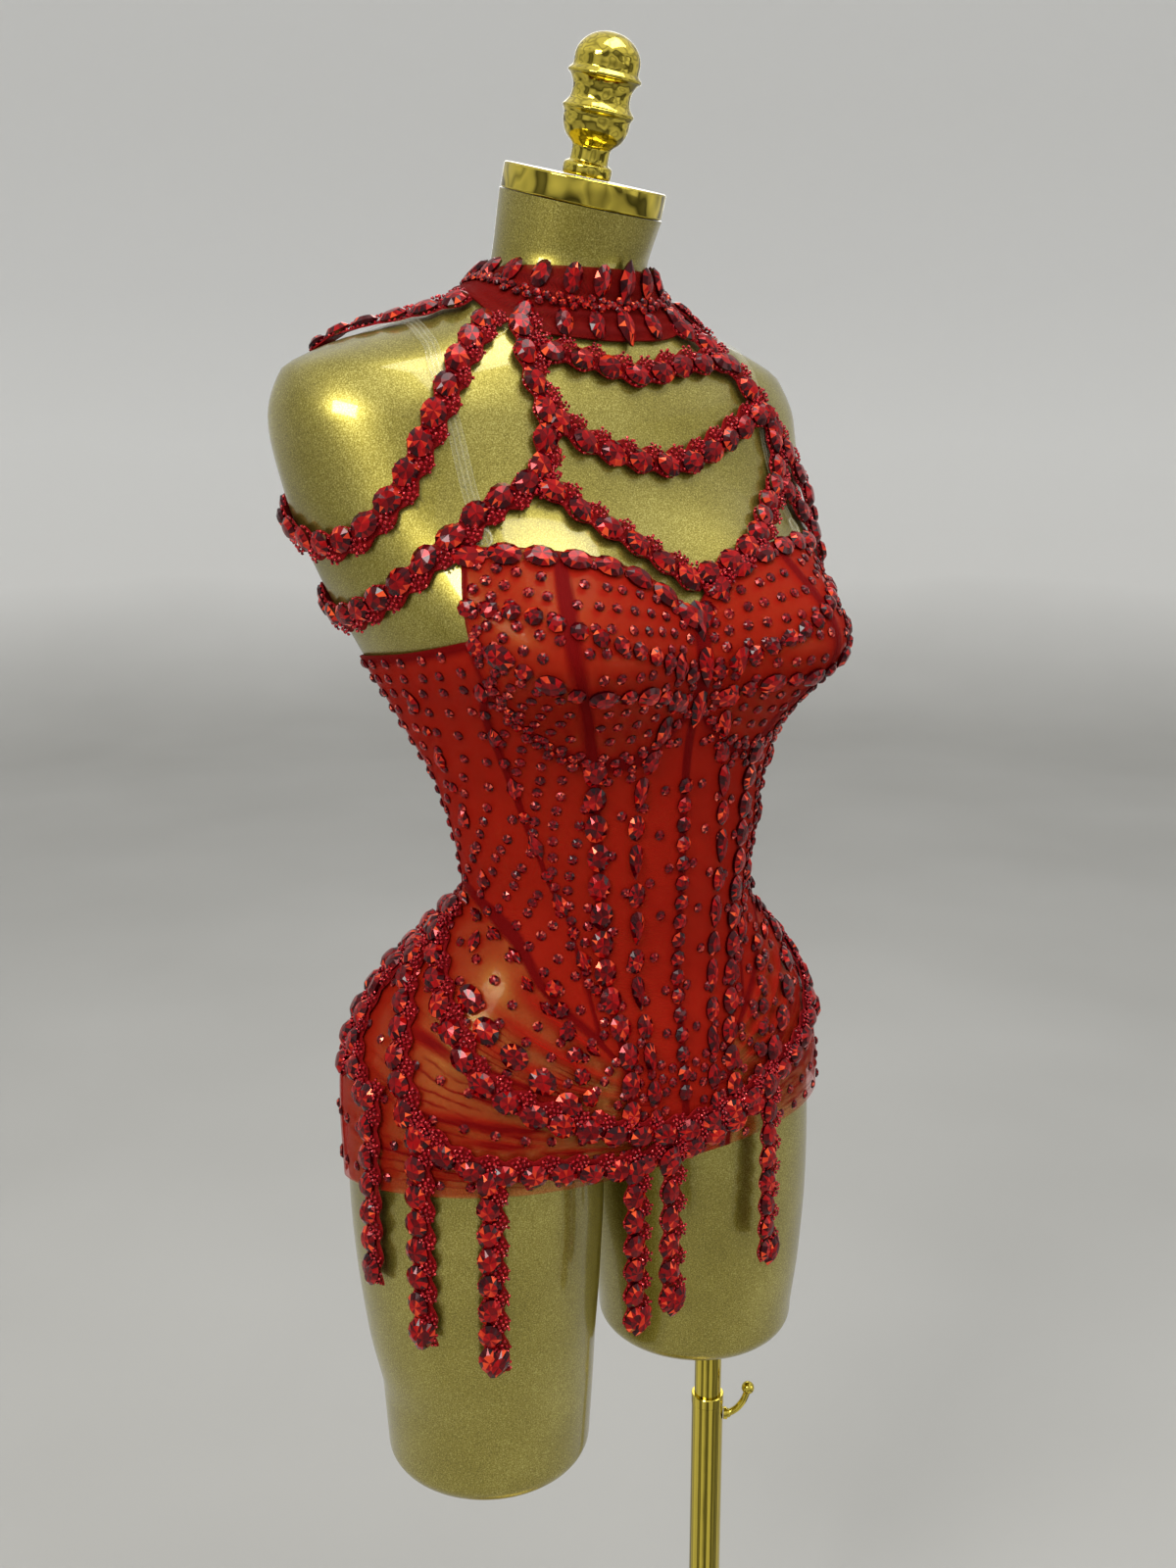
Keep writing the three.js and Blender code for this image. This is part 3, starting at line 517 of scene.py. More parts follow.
# the finial's turned outline: radius and height over the cap
finialShape = {
    "foot": [(15.5, 0.2), (16.3, 1.2), (16.6, 3), (16.6, 6.5), (15.9, 8.6), (13.8, 10)],
    "stem": [(13.0, 11), (12.8, 15), (13.0, 20)],
    "bowl": [(14.6, 22.4), (18.4, 26), (21.0, 31), (22.3, 36), (22.4, 40.5), (23.2, 42.6)],
    "ridge": [(24.0, 44), (24.0, 45.6), (22.6, 47.2)],
    "waist": [(20.2, 51), (19.5, 56), (20.2, 61), (22.6, 65.6)],
    "knob": [
        (24.4, 67), (24.6, 68.6), (23.2, 70.4), (21.9, 72.5), (21.9, 79), (20.6, 84.2),
        (17.6, 89), (13.2, 93), (8.2, 95.5), (3, 96.6), (0.6, 96.8),
    ],
}
finialSquash = 0.93
finialLine = [
    (r, h * finialSquash + capShape["height"] + 0.05) for part in finialShape.values() for r, h in part
]
finialPiece = turnedPiece(
    "finialKnob", smoothed(finialLine, 4), goldChrome, "figure", sides=96, place=neckPlace, sharp=50,
)
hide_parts("finial")
print("form ready")

stand = {
    "radius": 190, "height": 10, "edge": 3, "footRadius": 32, "footHeight": 22, "hub": 20, "flat": 120,
}
lever = {
    "drop": 20, "bearing": 56, "boss": 5, "arm": 2.8, "ball": 5.3, "ballAt": (20.5, 23.6),
    "spine": [(0.4, 0), (2.6, 0), (5, 0.4), (9, 2.4), (13, 6), (17, 12), (19.3, 18), (20.2, 21)],
}


def buildStand():
    centre, tube, top = (pole["x"], pole["y"]), pole["outer"], stand["height"]
    plate = turnedPiece("basePlate", [
        (stand["hub"], 0), *roundedRim(stand["radius"], 0, top, stand["edge"]),
        (stand["flat"], top), (stand["hub"], top),
    ], goldSteel, "stand", sides=160)
    head = stand["footHeight"]
    footLine = [
        (tube + 0.1, 0.2), (stand["footRadius"] - 1, 0.2),
        *roundedCorner(stand["footRadius"] - 2.4, 2.6, 2.4, -60, 90, 7),
        (25, 6), (20.5, 8.4), (18, 11), (17, 14), (17, head - 2), (16.4, head - 0.4),
        (14.4, head), (tube + 0.1, head),
    ]
    foot = turnedPiece("poleFlange", [(r, top + z) for r, z in footLine], goldSteel, "stand", centre, 80)
    lip, rim = tube + 0.35, pole["top"]
    outer = turnedPiece("outerTube", [
        (tube, top + 0.2), (tube, rim - 9), (lip, rim - 8.5), (lip, rim - 0.8), (lip - 0.6, rim),
        (pole["bore"], rim), (pole["bore"], top + 10), (0.5, top + 10),
    ], goldChrome, "stand", centre, pole["sides"])
    radius, low, high = pole["inner"], pole["lowest"], pole["socket"]
    inner = turnedPiece("innerTube", [
        (2, low), (radius - 1, low), (radius, low + 1), (radius, high - 1), (2, high),
    ], goldChrome, "figure", centre, pole["sides"])
    made = {"base_plate": plate, "pole_flange": foot, "pole_outer": outer, "pole_inner": inner}
    for node, piece in made.items():
        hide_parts(node)


def sweptTube(centreLine, radii, sides, across):
    line = np.asarray(centreLine, float)
    points, along, side, out = stations(line, np.tile(across, (len(line), 1)))
    c, s = (ring(fullTurn(sides))[None, :, None] for ring in (np.cos, np.sin))
    rings = points[:, None] + np.asarray(radii, float)[:, None, None] * (c * side[:, None] + s * out[:, None])
    return rings.reshape(-1, 3), ringFaces(len(points), sides)


def buildLever():
    way = levelWay(lever["bearing"])
    axis = np.array([pole["x"], pole["y"], pole["top"] - lever["drop"]])
    place = lambda out, up: axis + np.array([0, 0, up]) + way * (pole["outer"] + out)
    spine = smoothed(lever["spine"], 4)
    boss, arm = lever["boss"], lever["arm"]
    radii = [boss if out < 3.2 else boss - 1.2 if out < 5.2 else arm for out, _ in spine]
    points, faces = sweptTube([place(*spot) for spot in spine], radii, 24, np.cross([0, 0, 1], way))
    turns, rises = 28, np.linspace(-1.52, 1.52, 16)
    size = lever["ball"]
    ball = [levelRing(0, 0, size * math.cos(b), size * math.cos(b), size * math.sin(b), turns) for b in rises]
    faces += ringFaces(len(rises), turns, len(points))
    shell = np.concatenate(ball) + place(*lever["ballAt"])
    piece = makePiece("lockLever", np.vstack([points, shell]), faces, goldChrome, "lever", 45)
    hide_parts("lock_lever")


buildStand()
buildLever()
print("stand ready")

cloth = {"clear": 1.5, "wall": 1.0, "fine": 5, "stretch": 0.9}
clothTop = cloth["clear"] + cloth["wall"]
foldRows = [0, 0.06, 0.12, 0.18, 0.24, 0.3, 0.36, 0.46, 0.57, 0.68, 0.79, 0.9, 1]
even = lambda count: list(np.linspace(0, 1, count + 1))
# seams and edges of the right half: spacing of the cells and [angle, z] points
seams = {
    "cupTopOuter": (even(5), [[-55.3, 1271], [-46, 1271], [-35.5, 1268]]),
    "cupTopInner": (even(6), [[-35.5, 1268], [-25, 1263], [-12, 1250], [-4, 1235], [0, 1228]]),
    "cupEdge": (even(6), [[-55.5, 1217], [-55.8, 1240], [-55.3, 1271]]),
    "cupWing": (even(2), [[-54.3, 1190], [-55, 1203], [-55.5, 1217]]),
    "cupFootOuter": (even(5), [[-54.3, 1190], [-52.5, 1168], [-47, 1145], [-36, 1131]]),
    "cupFootInner": (even(6), [[-36, 1131], [-21, 1134], [-9, 1150], [-3, 1161], [0, 1164]]),
    "cupSeam": (even(8), [[-36, 1131], [-35.5, 1200], [-35.5, 1268]]),
    "gore": (even(8), [[0, 1164], [0, 1228]]),
    "wingSide": (even(7), [[-106, 1194], [-75, 1205], [-55.5, 1217]]),
    "wingBack": (even(6), [[-180, 1188], [-140, 1190], [-106, 1194]]),
    "sideBack": (even(11), [[-108, 1035], [-106, 1120], [-106, 1194]]),
    "centreBack": (even(11), [[-180, 1028], [-180, 1188]]),
    "side": (even(9), [
        [-31, 938], [-36, 975], [-44, 1007], [-56, 1048], [-62, 1102], [-60, 1160], [-54.3, 1190],
    ]),
    "princess": (even(9), [[-22.5, 917], [-30, 978], [-36, 1020], [-38, 1048], [-38, 1095], [-36, 1131]]),
    "waistBack": (even(6), [[-180, 1028], [-150, 1030], [-108, 1035]]),
    "hipLine": (even(7), [[-108, 1035], [-94, 1032], [-66, 1007], [-50, 975], [-31, 938]]),
    "hipPoint": (even(5), [[-31, 938], [-22.5, 917]]),
    "hipFront": (foldRows, [[-22.5, 917], [-21, 890], [-20, 840]]),
    "hipBack": (foldRows, [[-108, 1035], [-114, 980], [-115, 900], [-112, 804]]),
    "seat": (foldRows, [[-180, 1028], [-180, 788]]),
    "centreLow": (foldRows, [[0, 917], [0, 841]]),
    "centreHigh": (even(9), [[0, 917], [0, 1164]]),
    "hemFront": (even(6), [[-20, 840], [0, 841]]),
    "hemSide": (even(12), [[-112, 804], [-93, 824], [-74, 837], [-45, 839], [-20, 840]]),
    "hemBack": (even(6), [[-180, 788], [-140, 792], [-112, 804]]),
}
# each panel's foot, head, rear and fore, the first two running forward and the others up; the doubled
# cloth's widths along them; how much the mesh hides at the rear and at the fore edge
panels = {
    "cup_outer": ("cupFootOuter, cupTopOuter, cupWing cupEdge, cupSeam", (5, 2, 3, 4.5), (0.80, 0.78)),
    "cup_inner": ("cupFootInner, cupTopInner, cupSeam, gore", (5, 2, 4.5, 6), (0.78, 0.84)),
    "front": ("hemFront, cupFootInner, -hipFront princess, -centreLow centreHigh", (0, 5, 4, 3), (0.86, 0.90)),
    "side_front": ("hipPoint, cupFootOuter, side, princess", (0, 5, 4, 4), (0.86, 0.86)),
    "side": ("hipLine, wingSide, sideBack, side cupWing", (5, 6, 3, 4), (0.86, 0.88)),
    "back": ("waistBack, wingBack, centreBack, sideBack", (4, 6, 3, 3), (0.86, 0.86)),
    "hip": ("hemSide, hipLine hipPoint, -hipBack, -hipFront", (0, 4, 3, 4), (0.76, 0.30)),
    "hip_back": ("hemBack, waistBack, -seat, -hipBack", (0, 4, 3, 3), (0.84, 0.84)),
}
drape = {
    "height": 3.6, "rows": (1, 3, 5), "width": 0.052,
    "fade": [0, 0, 0, 0.1, 0.35, 0.75, 1, 1, 0.9, 0.75, 0.55, 0.35, 0.15],
}
gathers = {"count": 17, "height": 0.85, "from": 0.33, "span": 0.60, "width": 0.0062, "seed": 12}
pulls = {"count": 6, "height": 0.5, "from": 0.30, "pitch": 0.024, "width": 0.0065}
# where each pulled panel has fine creases: shares across it and shares down it
pulled = {
    "hip": ((0.12, 0.42, 0.95, 1), (0.2, 0.36, 0.93, 1)),
    "front": ((-1, 0, 0.05, 0.75), (0.60, 0.68, 0.96, 1)),
}
cutSizes = {}


def seamPoints(names):
    made = []
    for name in names.split():
        cells, way = seams[name.lstrip("-")]
        places = np.arange((len(cells) - 1) * cloth["fine"] + 1) / cloth["fine"]
        shares = np.interp(places, np.arange(len(cells)), cells)
        fine, run = traced(way)
        points = sampled(shares * run[-1], run, fine)
        points = points[::-1] if name.startswith("-") else points
        made.append(points[1:] if made else points)
    return np.vstack(made)


def shareAlong(side):
    run = runOf(skinPoint(side[:, 0], side[:, 1]))
    return run / run[-1]


def panelGrid(foot, head, rear, fore):
    # a smooth patch between four seams, with its rows' shares blended from edge to edge
    i = np.arange(len(rear))[:, None] / (len(rear) - 1)
    low, high, first, last = (shareAlong(side) for side in (foot, head, rear, fore))
    start = low[None] + (high - low)[None] * i
    v = first[:, None] + (last - first)[:, None] * start
    u = low[None] + (high - low)[None] * v
    u, v = u[..., None], v[..., None]
    edges = foot[None] * (1 - v) + head[None] * v + rear[:, None] * (1 - u) + fore[:, None] * u
    corners = foot[0] * (1 - u) * (1 - v) + foot[-1] * u * (1 - v) + head[0] * (1 - u) * v + head[-1] * u * v
    return edges - corners


def hipRelief(rows, columns):
    # three laid folds under the hip line, and fine gathers that fan out below them
    down = np.interp(np.linspace(0, 12, rows)[::-1], np.arange(13), foldRows)[:, None]
    u = np.linspace(0, 1, columns)[None]
    fade = np.interp(u * 12, np.arange(13), drape["fade"])
    relief = np.zeros((rows, columns))
    for k in drape["rows"]:
        away = (down - foldRows[k]) / drape["width"]
        rise, fall = np.clip(1 + away, 0, 1), np.clip(1 - away * 1.15, 0, 1)
        lump = np.where(away < 0, rise**2 * (3 - 2 * rise), fall**0.8)
        relief = np.maximum(relief, drape["height"] * lump * fade)
    random = np.random.default_rng(gathers["seed"])
    crease = np.zeros((rows, columns))
    for k in range(gathers["count"]):
        at = gathers["from"] + gathers["span"] * (k + random.uniform(-0.3, 0.3)) / gathers["count"]
        start, end = random.uniform(0.1, 0.42), random.uniform(0.62, 1.0)
        bend = at + random.uniform(-0.012, 0.012) + 0.03 * np.sin(u * random.uniform(2, 4) + k)
        reach = np.clip((u - start) / 0.16, 0, 1) * np.clip((end - u) / 0.16, 0, 1)
        height = random.uniform(0.5, 1.0)
        crease = np.maximum(crease, height * reach * np.exp(-(((down - bend) / gathers["width"]) ** 2)))
    return relief + gathers["height"] * crease, crease


def frontRelief(rows, columns):
    # a few short creases where the hip's folds pull on the front
    u, v = np.linspace(0, 1, columns)[None], np.linspace(0, 1, rows)[:, None]
    crease = np.zeros((rows, columns))
    for k in range(pulls["count"]):
        reach = np.clip(1 - u / (0.5 - 0.05 * k), 0, 1)
        away = v - pulls["from"] - pulls["pitch"] * k + 0.05 * u
        crease = np.maximum(crease, reach * np.exp(-((away / pulls["width"]) ** 2)))
    return pulls["height"] * crease, crease * 0.6


reliefs = {"hip": hipRelief, "front": frontRelief}


def runGrid(points, axis):
    steps = np.linalg.norm(np.diff(points, axis=axis), axis=-1)
    return np.pad(np.cumsum(steps, axis=axis), [(1, 0), (0, 0)] if axis == 0 else [(0, 0), (1, 0)])


def edgeBands(widths, up, forward):
    # how doubled and how raised the cloth is beside each of a panel's four edges
    band, raised = np.zeros_like(up), np.zeros_like(up)
    for away, width in zip((up, up[-1:] - up, forward, forward[:, -1:] - forward), widths):
        if width:
            band = np.maximum(band, np.clip((width - away) / 1.2 + 0.5, 0, 1))
            raised = np.maximum(raised, 0.35 * np.clip((width - away) / 1.5 + 0.5, 0, 1))
    return band, raised


def paintCloth(piece, cover, band, across, along):
    storeValue(piece, "cover", cover)
    storeValue(piece, "band", band)
    mesh = piece.data
    corners = np.empty(len(mesh.loops), int)
    mesh.loops.foreach_get("vertex_index", corners)
    uv = np.stack([np.asarray(across)[corners], np.asarray(along)[corners]], -1) * mm
    mesh.uv_layers.new(name="cut").data.foreach_set("uv", uv.ravel())


def twice(values):
    # the same values for a wall's outer and inner points
    return np.tile(values.ravel(), 2)


def panelPiece(name, spec, mirror, word):
    sides, bands, (rear, fore) = spec
    grid = panelGrid(*(seamPoints(side) for side in sides.split(", ")))
    rows, columns = grid.shape[:2]
    plain = np.zeros((rows, columns))
    relief, crease = reliefs[name](rows, columns) if name in reliefs else (plain, plain)
    angle, z = mirror * grid[..., 0], grid[..., 1]
    flat = onBody(angle, z, clothTop)
    up, forward = runGrid(flat, 0), runGrid(flat, 1)
    band, raised = edgeBands(bands, up, forward)
    u = np.linspace(0, 1, columns)[None] + plain
    cover = np.clip(rear + (fore - rear) * u**0.8 + 0.5 * crease, 0, 0.98)
    band = np.maximum(band, 0.96 * crease)
    if name == "hip":
        folded = np.clip(relief / drape["height"], 0, 1)
        rise = np.linspace(0, 1, rows)[:, None]
        cover = np.clip(cover + 0.38 * folded + 0.14 * np.clip((rise - 0.62) / 0.2, 0, 1) * u, 0, 0.98)
    top = onBody(angle, z, clothTop + relief + raised)
    under = onBody(angle, z, cloth["clear"] + relief)
    faces = wallFaces(rows, columns)
    if mirror < 0:
        faces = [face[::-1] for face in faces]
    node = f"{name}_{word}"
    points = np.concatenate([top.reshape(-1, 3), under.reshape(-1, 3)])
    piece = makePiece(node.replace("_", "") + "Cloth", points, faces, redMesh, sharp=60)
    paintCloth(piece, twice(cover), twice(band), twice(forward), twice(up))
    if name in pulled:
        reach, depth = pulled[name]
        down = 1 - np.linspace(0, 1, rows)[:, None] + np.zeros((1, columns))
        storeValue(piece, "down", twice(down))
        pull = np.interp(u, reach, (0, 1, 1, 0.25)) * np.interp(down, depth, (0, 1, 1, 0))
        storeValue(piece, "pull", twice(pull))
    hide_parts(node)
    cells = np.linalg.norm(np.cross(flat[1:, :-1] - flat[:-1, :-1], flat[:-1, 1:] - flat[:-1, :-1]), axis=-1)
    area = float(cells.sum()) * mm * mm * cloth["stretch"]
    width, length = (float(a.max()) * mm * math.sqrt(cloth["stretch"]) for a in (forward, up))
    width = min(width, area / (0.34 * length))  # a long wedge's rows run aslant
    area = min(area, width * length)
    cutSizes[node] = (round(width, 3), round(length, 3), round(area, 4))
    return {"name": name, "top": top, "normal": skinNormal(angle, z), "up": up, "forward": forward}


clothPieces = []
for mirror, word in ((1, "right"), (-1, "left")):
    for name, spec in panels.items():
        clothPieces.append(panelPiece(name, spec, mirror, word))
print("cloth panels ready")

collar = {
    "top": 1447, "wall": 1.4, "clear": 1.8, "columns": 176, "rows": 34, "folds": (0.10, 0.30, 0.52, 0.74),
    "height": 1.5, "wave": 0.05, "width": 0.065,
}
# [angle, z] of the collar's foot, the same on both sides
collarFoot = np.array([
    [0, 1399], [30, 1401], [52, 1410], [70, 1424], [90, 1432], [125, 1430], [180, 1422],
], float)


def collarFootAt(angle):
    return smoothColumn(collarFoot, 1, np.abs((np.asarray(angle) + 180) % 360 - 180))


def collarSpot(angle, t, out):
    foot = collarFootAt(angle)
    return onBody(angle, foot + (collar["top"] - foot) * t, out)


def buildCollar():
    rows, columns = collar["rows"], collar["columns"]
    t, angle = np.linspace(0, 1, rows)[:, None], (np.arange(columns) * 360 / columns)[None]
    around = np.radians(angle)
    fold = np.zeros((rows, columns))
    for k, at in enumerate(collar["folds"]):
        middle = at + collar["wave"] * np.sin(around * (2 + k % 2) + 1.7 * k)
        swell = 0.75 + 0.25 * np.cos(around * 3 + k)
        fold = np.maximum(fold, np.exp(-(((t - middle) / collar["width"]) ** 2)) * swell)
    raised = collar["height"] * fold
    outer = collarSpot(angle + 0 * t, t, collar["clear"] + collar["wall"] + raised)
    inner = collarSpot(angle + 0 * t, t, collar["clear"] + 0.6 * raised)
    points = np.concatenate([outer.reshape(-1, 3), inner.reshape(-1, 3)])
    piece = makePiece("collarCloth", points, wallFaces(rows, columns, closed=True), collarMesh, sharp=60)
    steps = np.linalg.norm(np.diff(np.concatenate([outer, outer[:, :1]], 1), axis=1), axis=-1)
    rises = np.linalg.norm(np.diff(outer, axis=0), axis=-1)
    along = runGrid(outer, 0)
    across = np.cumsum(steps, 1) - steps[:, :1]
    paintCloth(piece, twice(0.90 + 0.08 * fold), twice(0.5 * fold), twice(across), twice(along))
    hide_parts("collar")
    width, length = float(steps.sum(1).max()) * mm, float(along.max()) * mm
    area = min(float((steps[:-1] * rises).sum()) * mm * mm, width * length)
    cutSizes["collar"] = (round(width, 3), round(length, 3), round(area, 4))


buildCollar()
print("collar ready")

# where the stones are set: each kind gathers places, with the middle, the way along, the way out and
# the stone's width, length and height
stones = {"oval": [], "round": [], "small": [], "navette": [], "drop": [], "glitter": []}
random = np.random.default_rng(5)


def setStones(kind, middle, along, out, length, width, height):
    middle, along, out = (np.asarray(a, float).reshape(-1, 3) for a in (middle, along, out))
    size = np.broadcast_to(np.array([width, length, height], float), (len(middle), 3))
    stones[kind].append(np.concatenate([middle, along, out, size], 1))


def turnedWay(along, across, degrees):
    a = np.radians(np.asarray(degrees, float))[..., None]
    return along * np.cos(a) + across * np.sin(a)


def rowOf(kind, way, pitch, length, width, height, lift=clothTop, alternate=None):
    # one row of stones along a line of the body; alternate names a second kind and its sizes
    points, along, side, out = bodyStations(way, pitch)
    points = points + out * lift
    ways = turnedWay(along, side, random.uniform(-6, 6, len(points)))
    first = slice(None) if alternate is None else slice(0, None, 2)
    setStones(kind, points[first], ways[first], out[first], length, width, height)
    if alternate:
        setStones(alternate[0], points[1::2], ways[1::2], out[1::2], *alternate[1:])


def rowsOf(kind, way, *sizes, **words):
    # the same row on both sides
    rowOf(kind, way, *sizes, **words)
    rowOf(kind, mirrored(way), *sizes, **words)


small = {"size": 7.2, "height": 2.5, "edge": 8, "pitch": 18.5, "stray": 1.6}
spacing = {"cup_outer": 13.6, "cup_inner": 13.6, "hip": 20.5, "hip_back": 21, "back": 20}


def smallStones(panel):
    # staggered rows of small round stones over a panel, kept clear of its seams
    pitch = spacing.get(panel["name"], small["pitch"])
    rows = len(panel["up"])
    count = max(1, round(panel["up"].max(0).mean() / (pitch * 0.87)))
    found, outs = [], []
    for k in range(count):
        level = (k + 0.5) / count * (rows - 1)
        i, t = int(level), level - int(level)
        line, ways, run = (
            panel[key][i] * (1 - t) + panel[key][min(i + 1, rows - 1)] * t
            for key in ("top", "normal", "forward")
        )
        start = small["edge"] + (pitch / 2 if k % 2 else 0)
        places = np.arange(start, run[-1] - small["edge"], pitch)
        places = places + random.uniform(-small["stray"], small["stray"], len(places))
        if len(places):
            found.append(sampled(places, run, line))
            outs.append(sampled(places, run, ways))
    if found:
        middle, out = np.vstack(found), unit(np.vstack(outs))
        along = unit(np.cross(out, random.normal(size=out.shape)))
        setStones("small", middle, along, out, small["size"], small["size"], small["height"])


for panel in clothPieces:
    smallStones(panel)

cupRows = {
    "top": [
        [-54, 1266], [-46, 1266.5], [-35.5, 1263.5], [-25, 1258.5], [-13.5, 1246.5], [-6, 1232], [-2.5, 1225],
    ],
    "middle": [[-55, 1236], [-46, 1234], [-39, 1228], [-32, 1220], [-24, 1211], [-13, 1199], [-5, 1190]],
    "low": [
        [-54.5, 1214], [-49, 1208], [-44, 1198], [-39, 1191], [-34, 1184], [-25, 1183], [-17, 1180], [-9, 1173],
    ],
    "foot": [
        [-53, 1188], [-51.5, 1168], [-46, 1146], [-36, 1133.5], [-21, 1136.5], [-9.5, 1152], [-3.5, 1163],
    ],
    "footLow": [[-54, 1176], [-51, 1152], [-43, 1134], [-33, 1126], [-20, 1129], [-9, 1143]],
}
rowsOf("oval", cupRows["top"], 23, 21.5, 15.5, 5.2)
rowsOf("round", cupRows["middle"], 13.6, 12.3, 12.3, 4.4)
rowsOf("round", cupRows["low"], 16.6, 12, 12, 4.4, alternate=("oval", 20, 15, 5))
rowsOf("round", cupRows["foot"], 9.6, 7.4, 7.4, 2.8)
rowsOf("round", cupRows["footLow"], 10.4, 7, 7, 2.7)

bodyLines = {
    "centre": [[0, 1110], [0, 1040], [0, 982], [0, 890]],
    "princess": [
        [-36, 1126], [-38, 1095], [-38, 1048], [-36, 1020], [-30, 978], [-22.5, 930], [-21.5, 900], [-22, 884],
    ],
    "side": [[-56.5, 1186], [-60, 1160], [-62, 1102], [-56, 1048], [-44, 1007], [-33, 972]],
    "inner": [
        [-10.5, 1196], [-11, 1168], [-16, 1132], [-21, 1103], [-23, 1060], [-20, 1000], [-15, 940],
        [-13, 898], [-13, 872],
    ],
    "gore": [[0, 1222], [0, 1166]],
    "sideFar": [[-80, 1172], [-84, 1110], [-83, 1050], [-78, 1000]],
    "back": [[-150, 1178], [-152, 1110], [-154, 1050], [-152, 1000], [-148, 940], [-146, 880]],
}
rowsOf("oval", bodyLines["princess"], 20.5, 19.6, 15.6, 5.2)
rowsOf("navette", bodyLines["side"], 22, 19, 10.5, 4.4, alternate=("round", 8.5, 8.5, 3.4))
rowOf("round", bodyLines["centre"], 14.2, 12, 12, 4.4)
rowsOf("drop", bodyLines["inner"], 24, 25, 13.5, 5.2, alternate=("oval", 18, 12, 4.6))
rowOf("drop", bodyLines["gore"], 28, 28, 16, 5.6)
rowsOf("navette", bodyLines["sideFar"], 24, 17, 10, 4.2, alternate=("round", 8, 8, 3.2))
rowsOf("oval", bodyLines["back"], 20.5, 18, 14, 4.8)

hipRows = {
    "ovals": [[-69, 966], [-64, 951], [-56, 935], [-49, 919], [-41, 898]],
    "rounds": [[-47, 975], [-43, 955], [-38, 922], [-33, 887]],
    "line": [[-95, 1024], [-66, 1001], [-52, 970], [-34, 933]],
}
rowsOf("oval", hipRows["ovals"], 25, 21, 17, 5.4, lift=clothTop + 0.7)
rowsOf("round", hipRows["rounds"], 14.8, 12.3, 12.3, 4.4, lift=clothTop + 1.2)
rowsOf("navette", hipRows["line"], 22, 14, 7, 4, lift=clothTop + 1.4)


def collarStones():
    # a ring of upright ovals above and one below, with clusters of small rounds between them
    shape = {
        "pitch": 19.4, "radius": 60, "first": -8, "oval": (21, 12.5, 5), "point": (30, 14, 6),
        "low": (20.5, 12.5, 5), "cluster": 6.4, "flat": 2.6,
    }
    spotAt = lambda a, t, out=0: collarSpot(np.array([a]), np.array([t]), out)
    face = collar["clear"] + collar["wall"]
    count = round(2 * math.pi * shape["radius"] / shape["pitch"])
    for k in range(count):
        angle = shape["first"] + k * 360 / count
        pointed = k == 1
        for row, t in (("oval", 0.83), ("low", 0.19)):
            rise = unit(spotAt(angle, t + 0.05) - spotAt(angle, t - 0.05))
            if row == "low" and collar["top"] - float(collarFootAt([angle])[0]) < 30:
                continue
            out = np.cross(spotAt(angle + 1, t) - spotAt(angle - 1, t), rise)
            kind, sizes = ("navette", shape["point"]) if pointed else ("oval", shape[row])
            setStones(kind, spotAt(angle, t, face + 0.6), rise, out, *sizes)
    for k in range(count * 2):
        angle = shape["first"] + 360 / count / 4 + k * 180 / count
        for part in range(3):
            turn = part * 2.1 + k
            a = angle + 3.1 * math.cos(turn)
            spot = spotAt(a, 0.50 + 0.065 * math.sin(turn), face + collar["height"] * 0.8)
            normal = skinNormal(a, spot[0, 2])
            along = unit(np.cross(normal, random.normal(size=3)))
            setStones("round", spot, along, normal, shape["cluster"], shape["cluster"], shape["flat"])


collarStones()

# a large stone and a lump of seed stones take turns along a strap, a little to either side of its middle
gem = {
    "pitch": 20, "oval": (19.5, 16, 5.6), "offset": 2.4, "tip": (24, 13, 6), "tape": 1.1, "step": 2.0,
    "lumpOffset": 5.2, "lump": 6.6, "perLump": 17, "seed": (2.5, 2.5, 1.5), "edge": (2.6, 2.6, 1.6),
}
strapLift = 3.1
armUpper = [
    [-56.5, 1413], [-57, 1378], [-59, 1348], [-63, 1318], [-67, 1298], [-74, 1279], [-84, 1272], [-95, 1280],
    [-108, 1298], [-119, 1325], [-122, 1355], [-114, 1382], [-100, 1400], [-84, 1412], [-72, 1425],
]
armLower = [
    [-37, 1311], [-49, 1294], [-57, 1274], [-69, 1247], [-82, 1230], [-94, 1226], [-107, 1238], [-122, 1262],
    [-138, 1295], [-148, 1335], [-151, 1375], [-148, 1414],
]
harness = [
    armLower,
    [[-45.5, 1413], [-38, 1378], [-33, 1348], [-37, 1309]],
    [[-37, 1312], [-34, 1306], [-25, 1289], [-12, 1270], [-1, 1254], [6, 1244]],
    [[47, 1415], [54, 1396], [56, 1370], [58, 1343], [54, 1306]],
    [[57, 1352], [64, 1316], [69, 1295], [75, 1279], *mirrored(armUpper[6:])],
    [[54, 1309], [60, 1282], [70, 1250], [82, 1230], *mirrored(armLower[5:])],
    [[54, 1308], [42, 1287], [29, 1268], [16, 1254], [5, 1245]],
    [[-38, 1393], [-25, 1389], [-8, 1384], [12, 1378], [32, 1385], [56, 1389]],
    [[-33, 1356], [-22, 1337], [-4, 1325], [17, 1321], [37, 1335], [57, 1358]],
]
hipLines = [
    [[-96, 1018], [-99, 1000], [-101, 971], [-101, 942], [-96, 916], [-86, 892]],
    [[-102, 1016], [-105, 1000], [-106, 971], [-106, 942], [-103, 918], [-98, 898]],
    [[-99, 985], [-86, 955], [-81, 927], [-77, 905], [-75, 885]],
]
hipSwag = [
    [-99, 1004], [-80, 972], [-69, 944], [-62, 920], [-50, 897], [-35, 881], [-20, 871], [0, 866], [22, 871],
    [40, 881], [60, 900], [72, 925], [80, 955], [88, 980], [99, 1004],
]
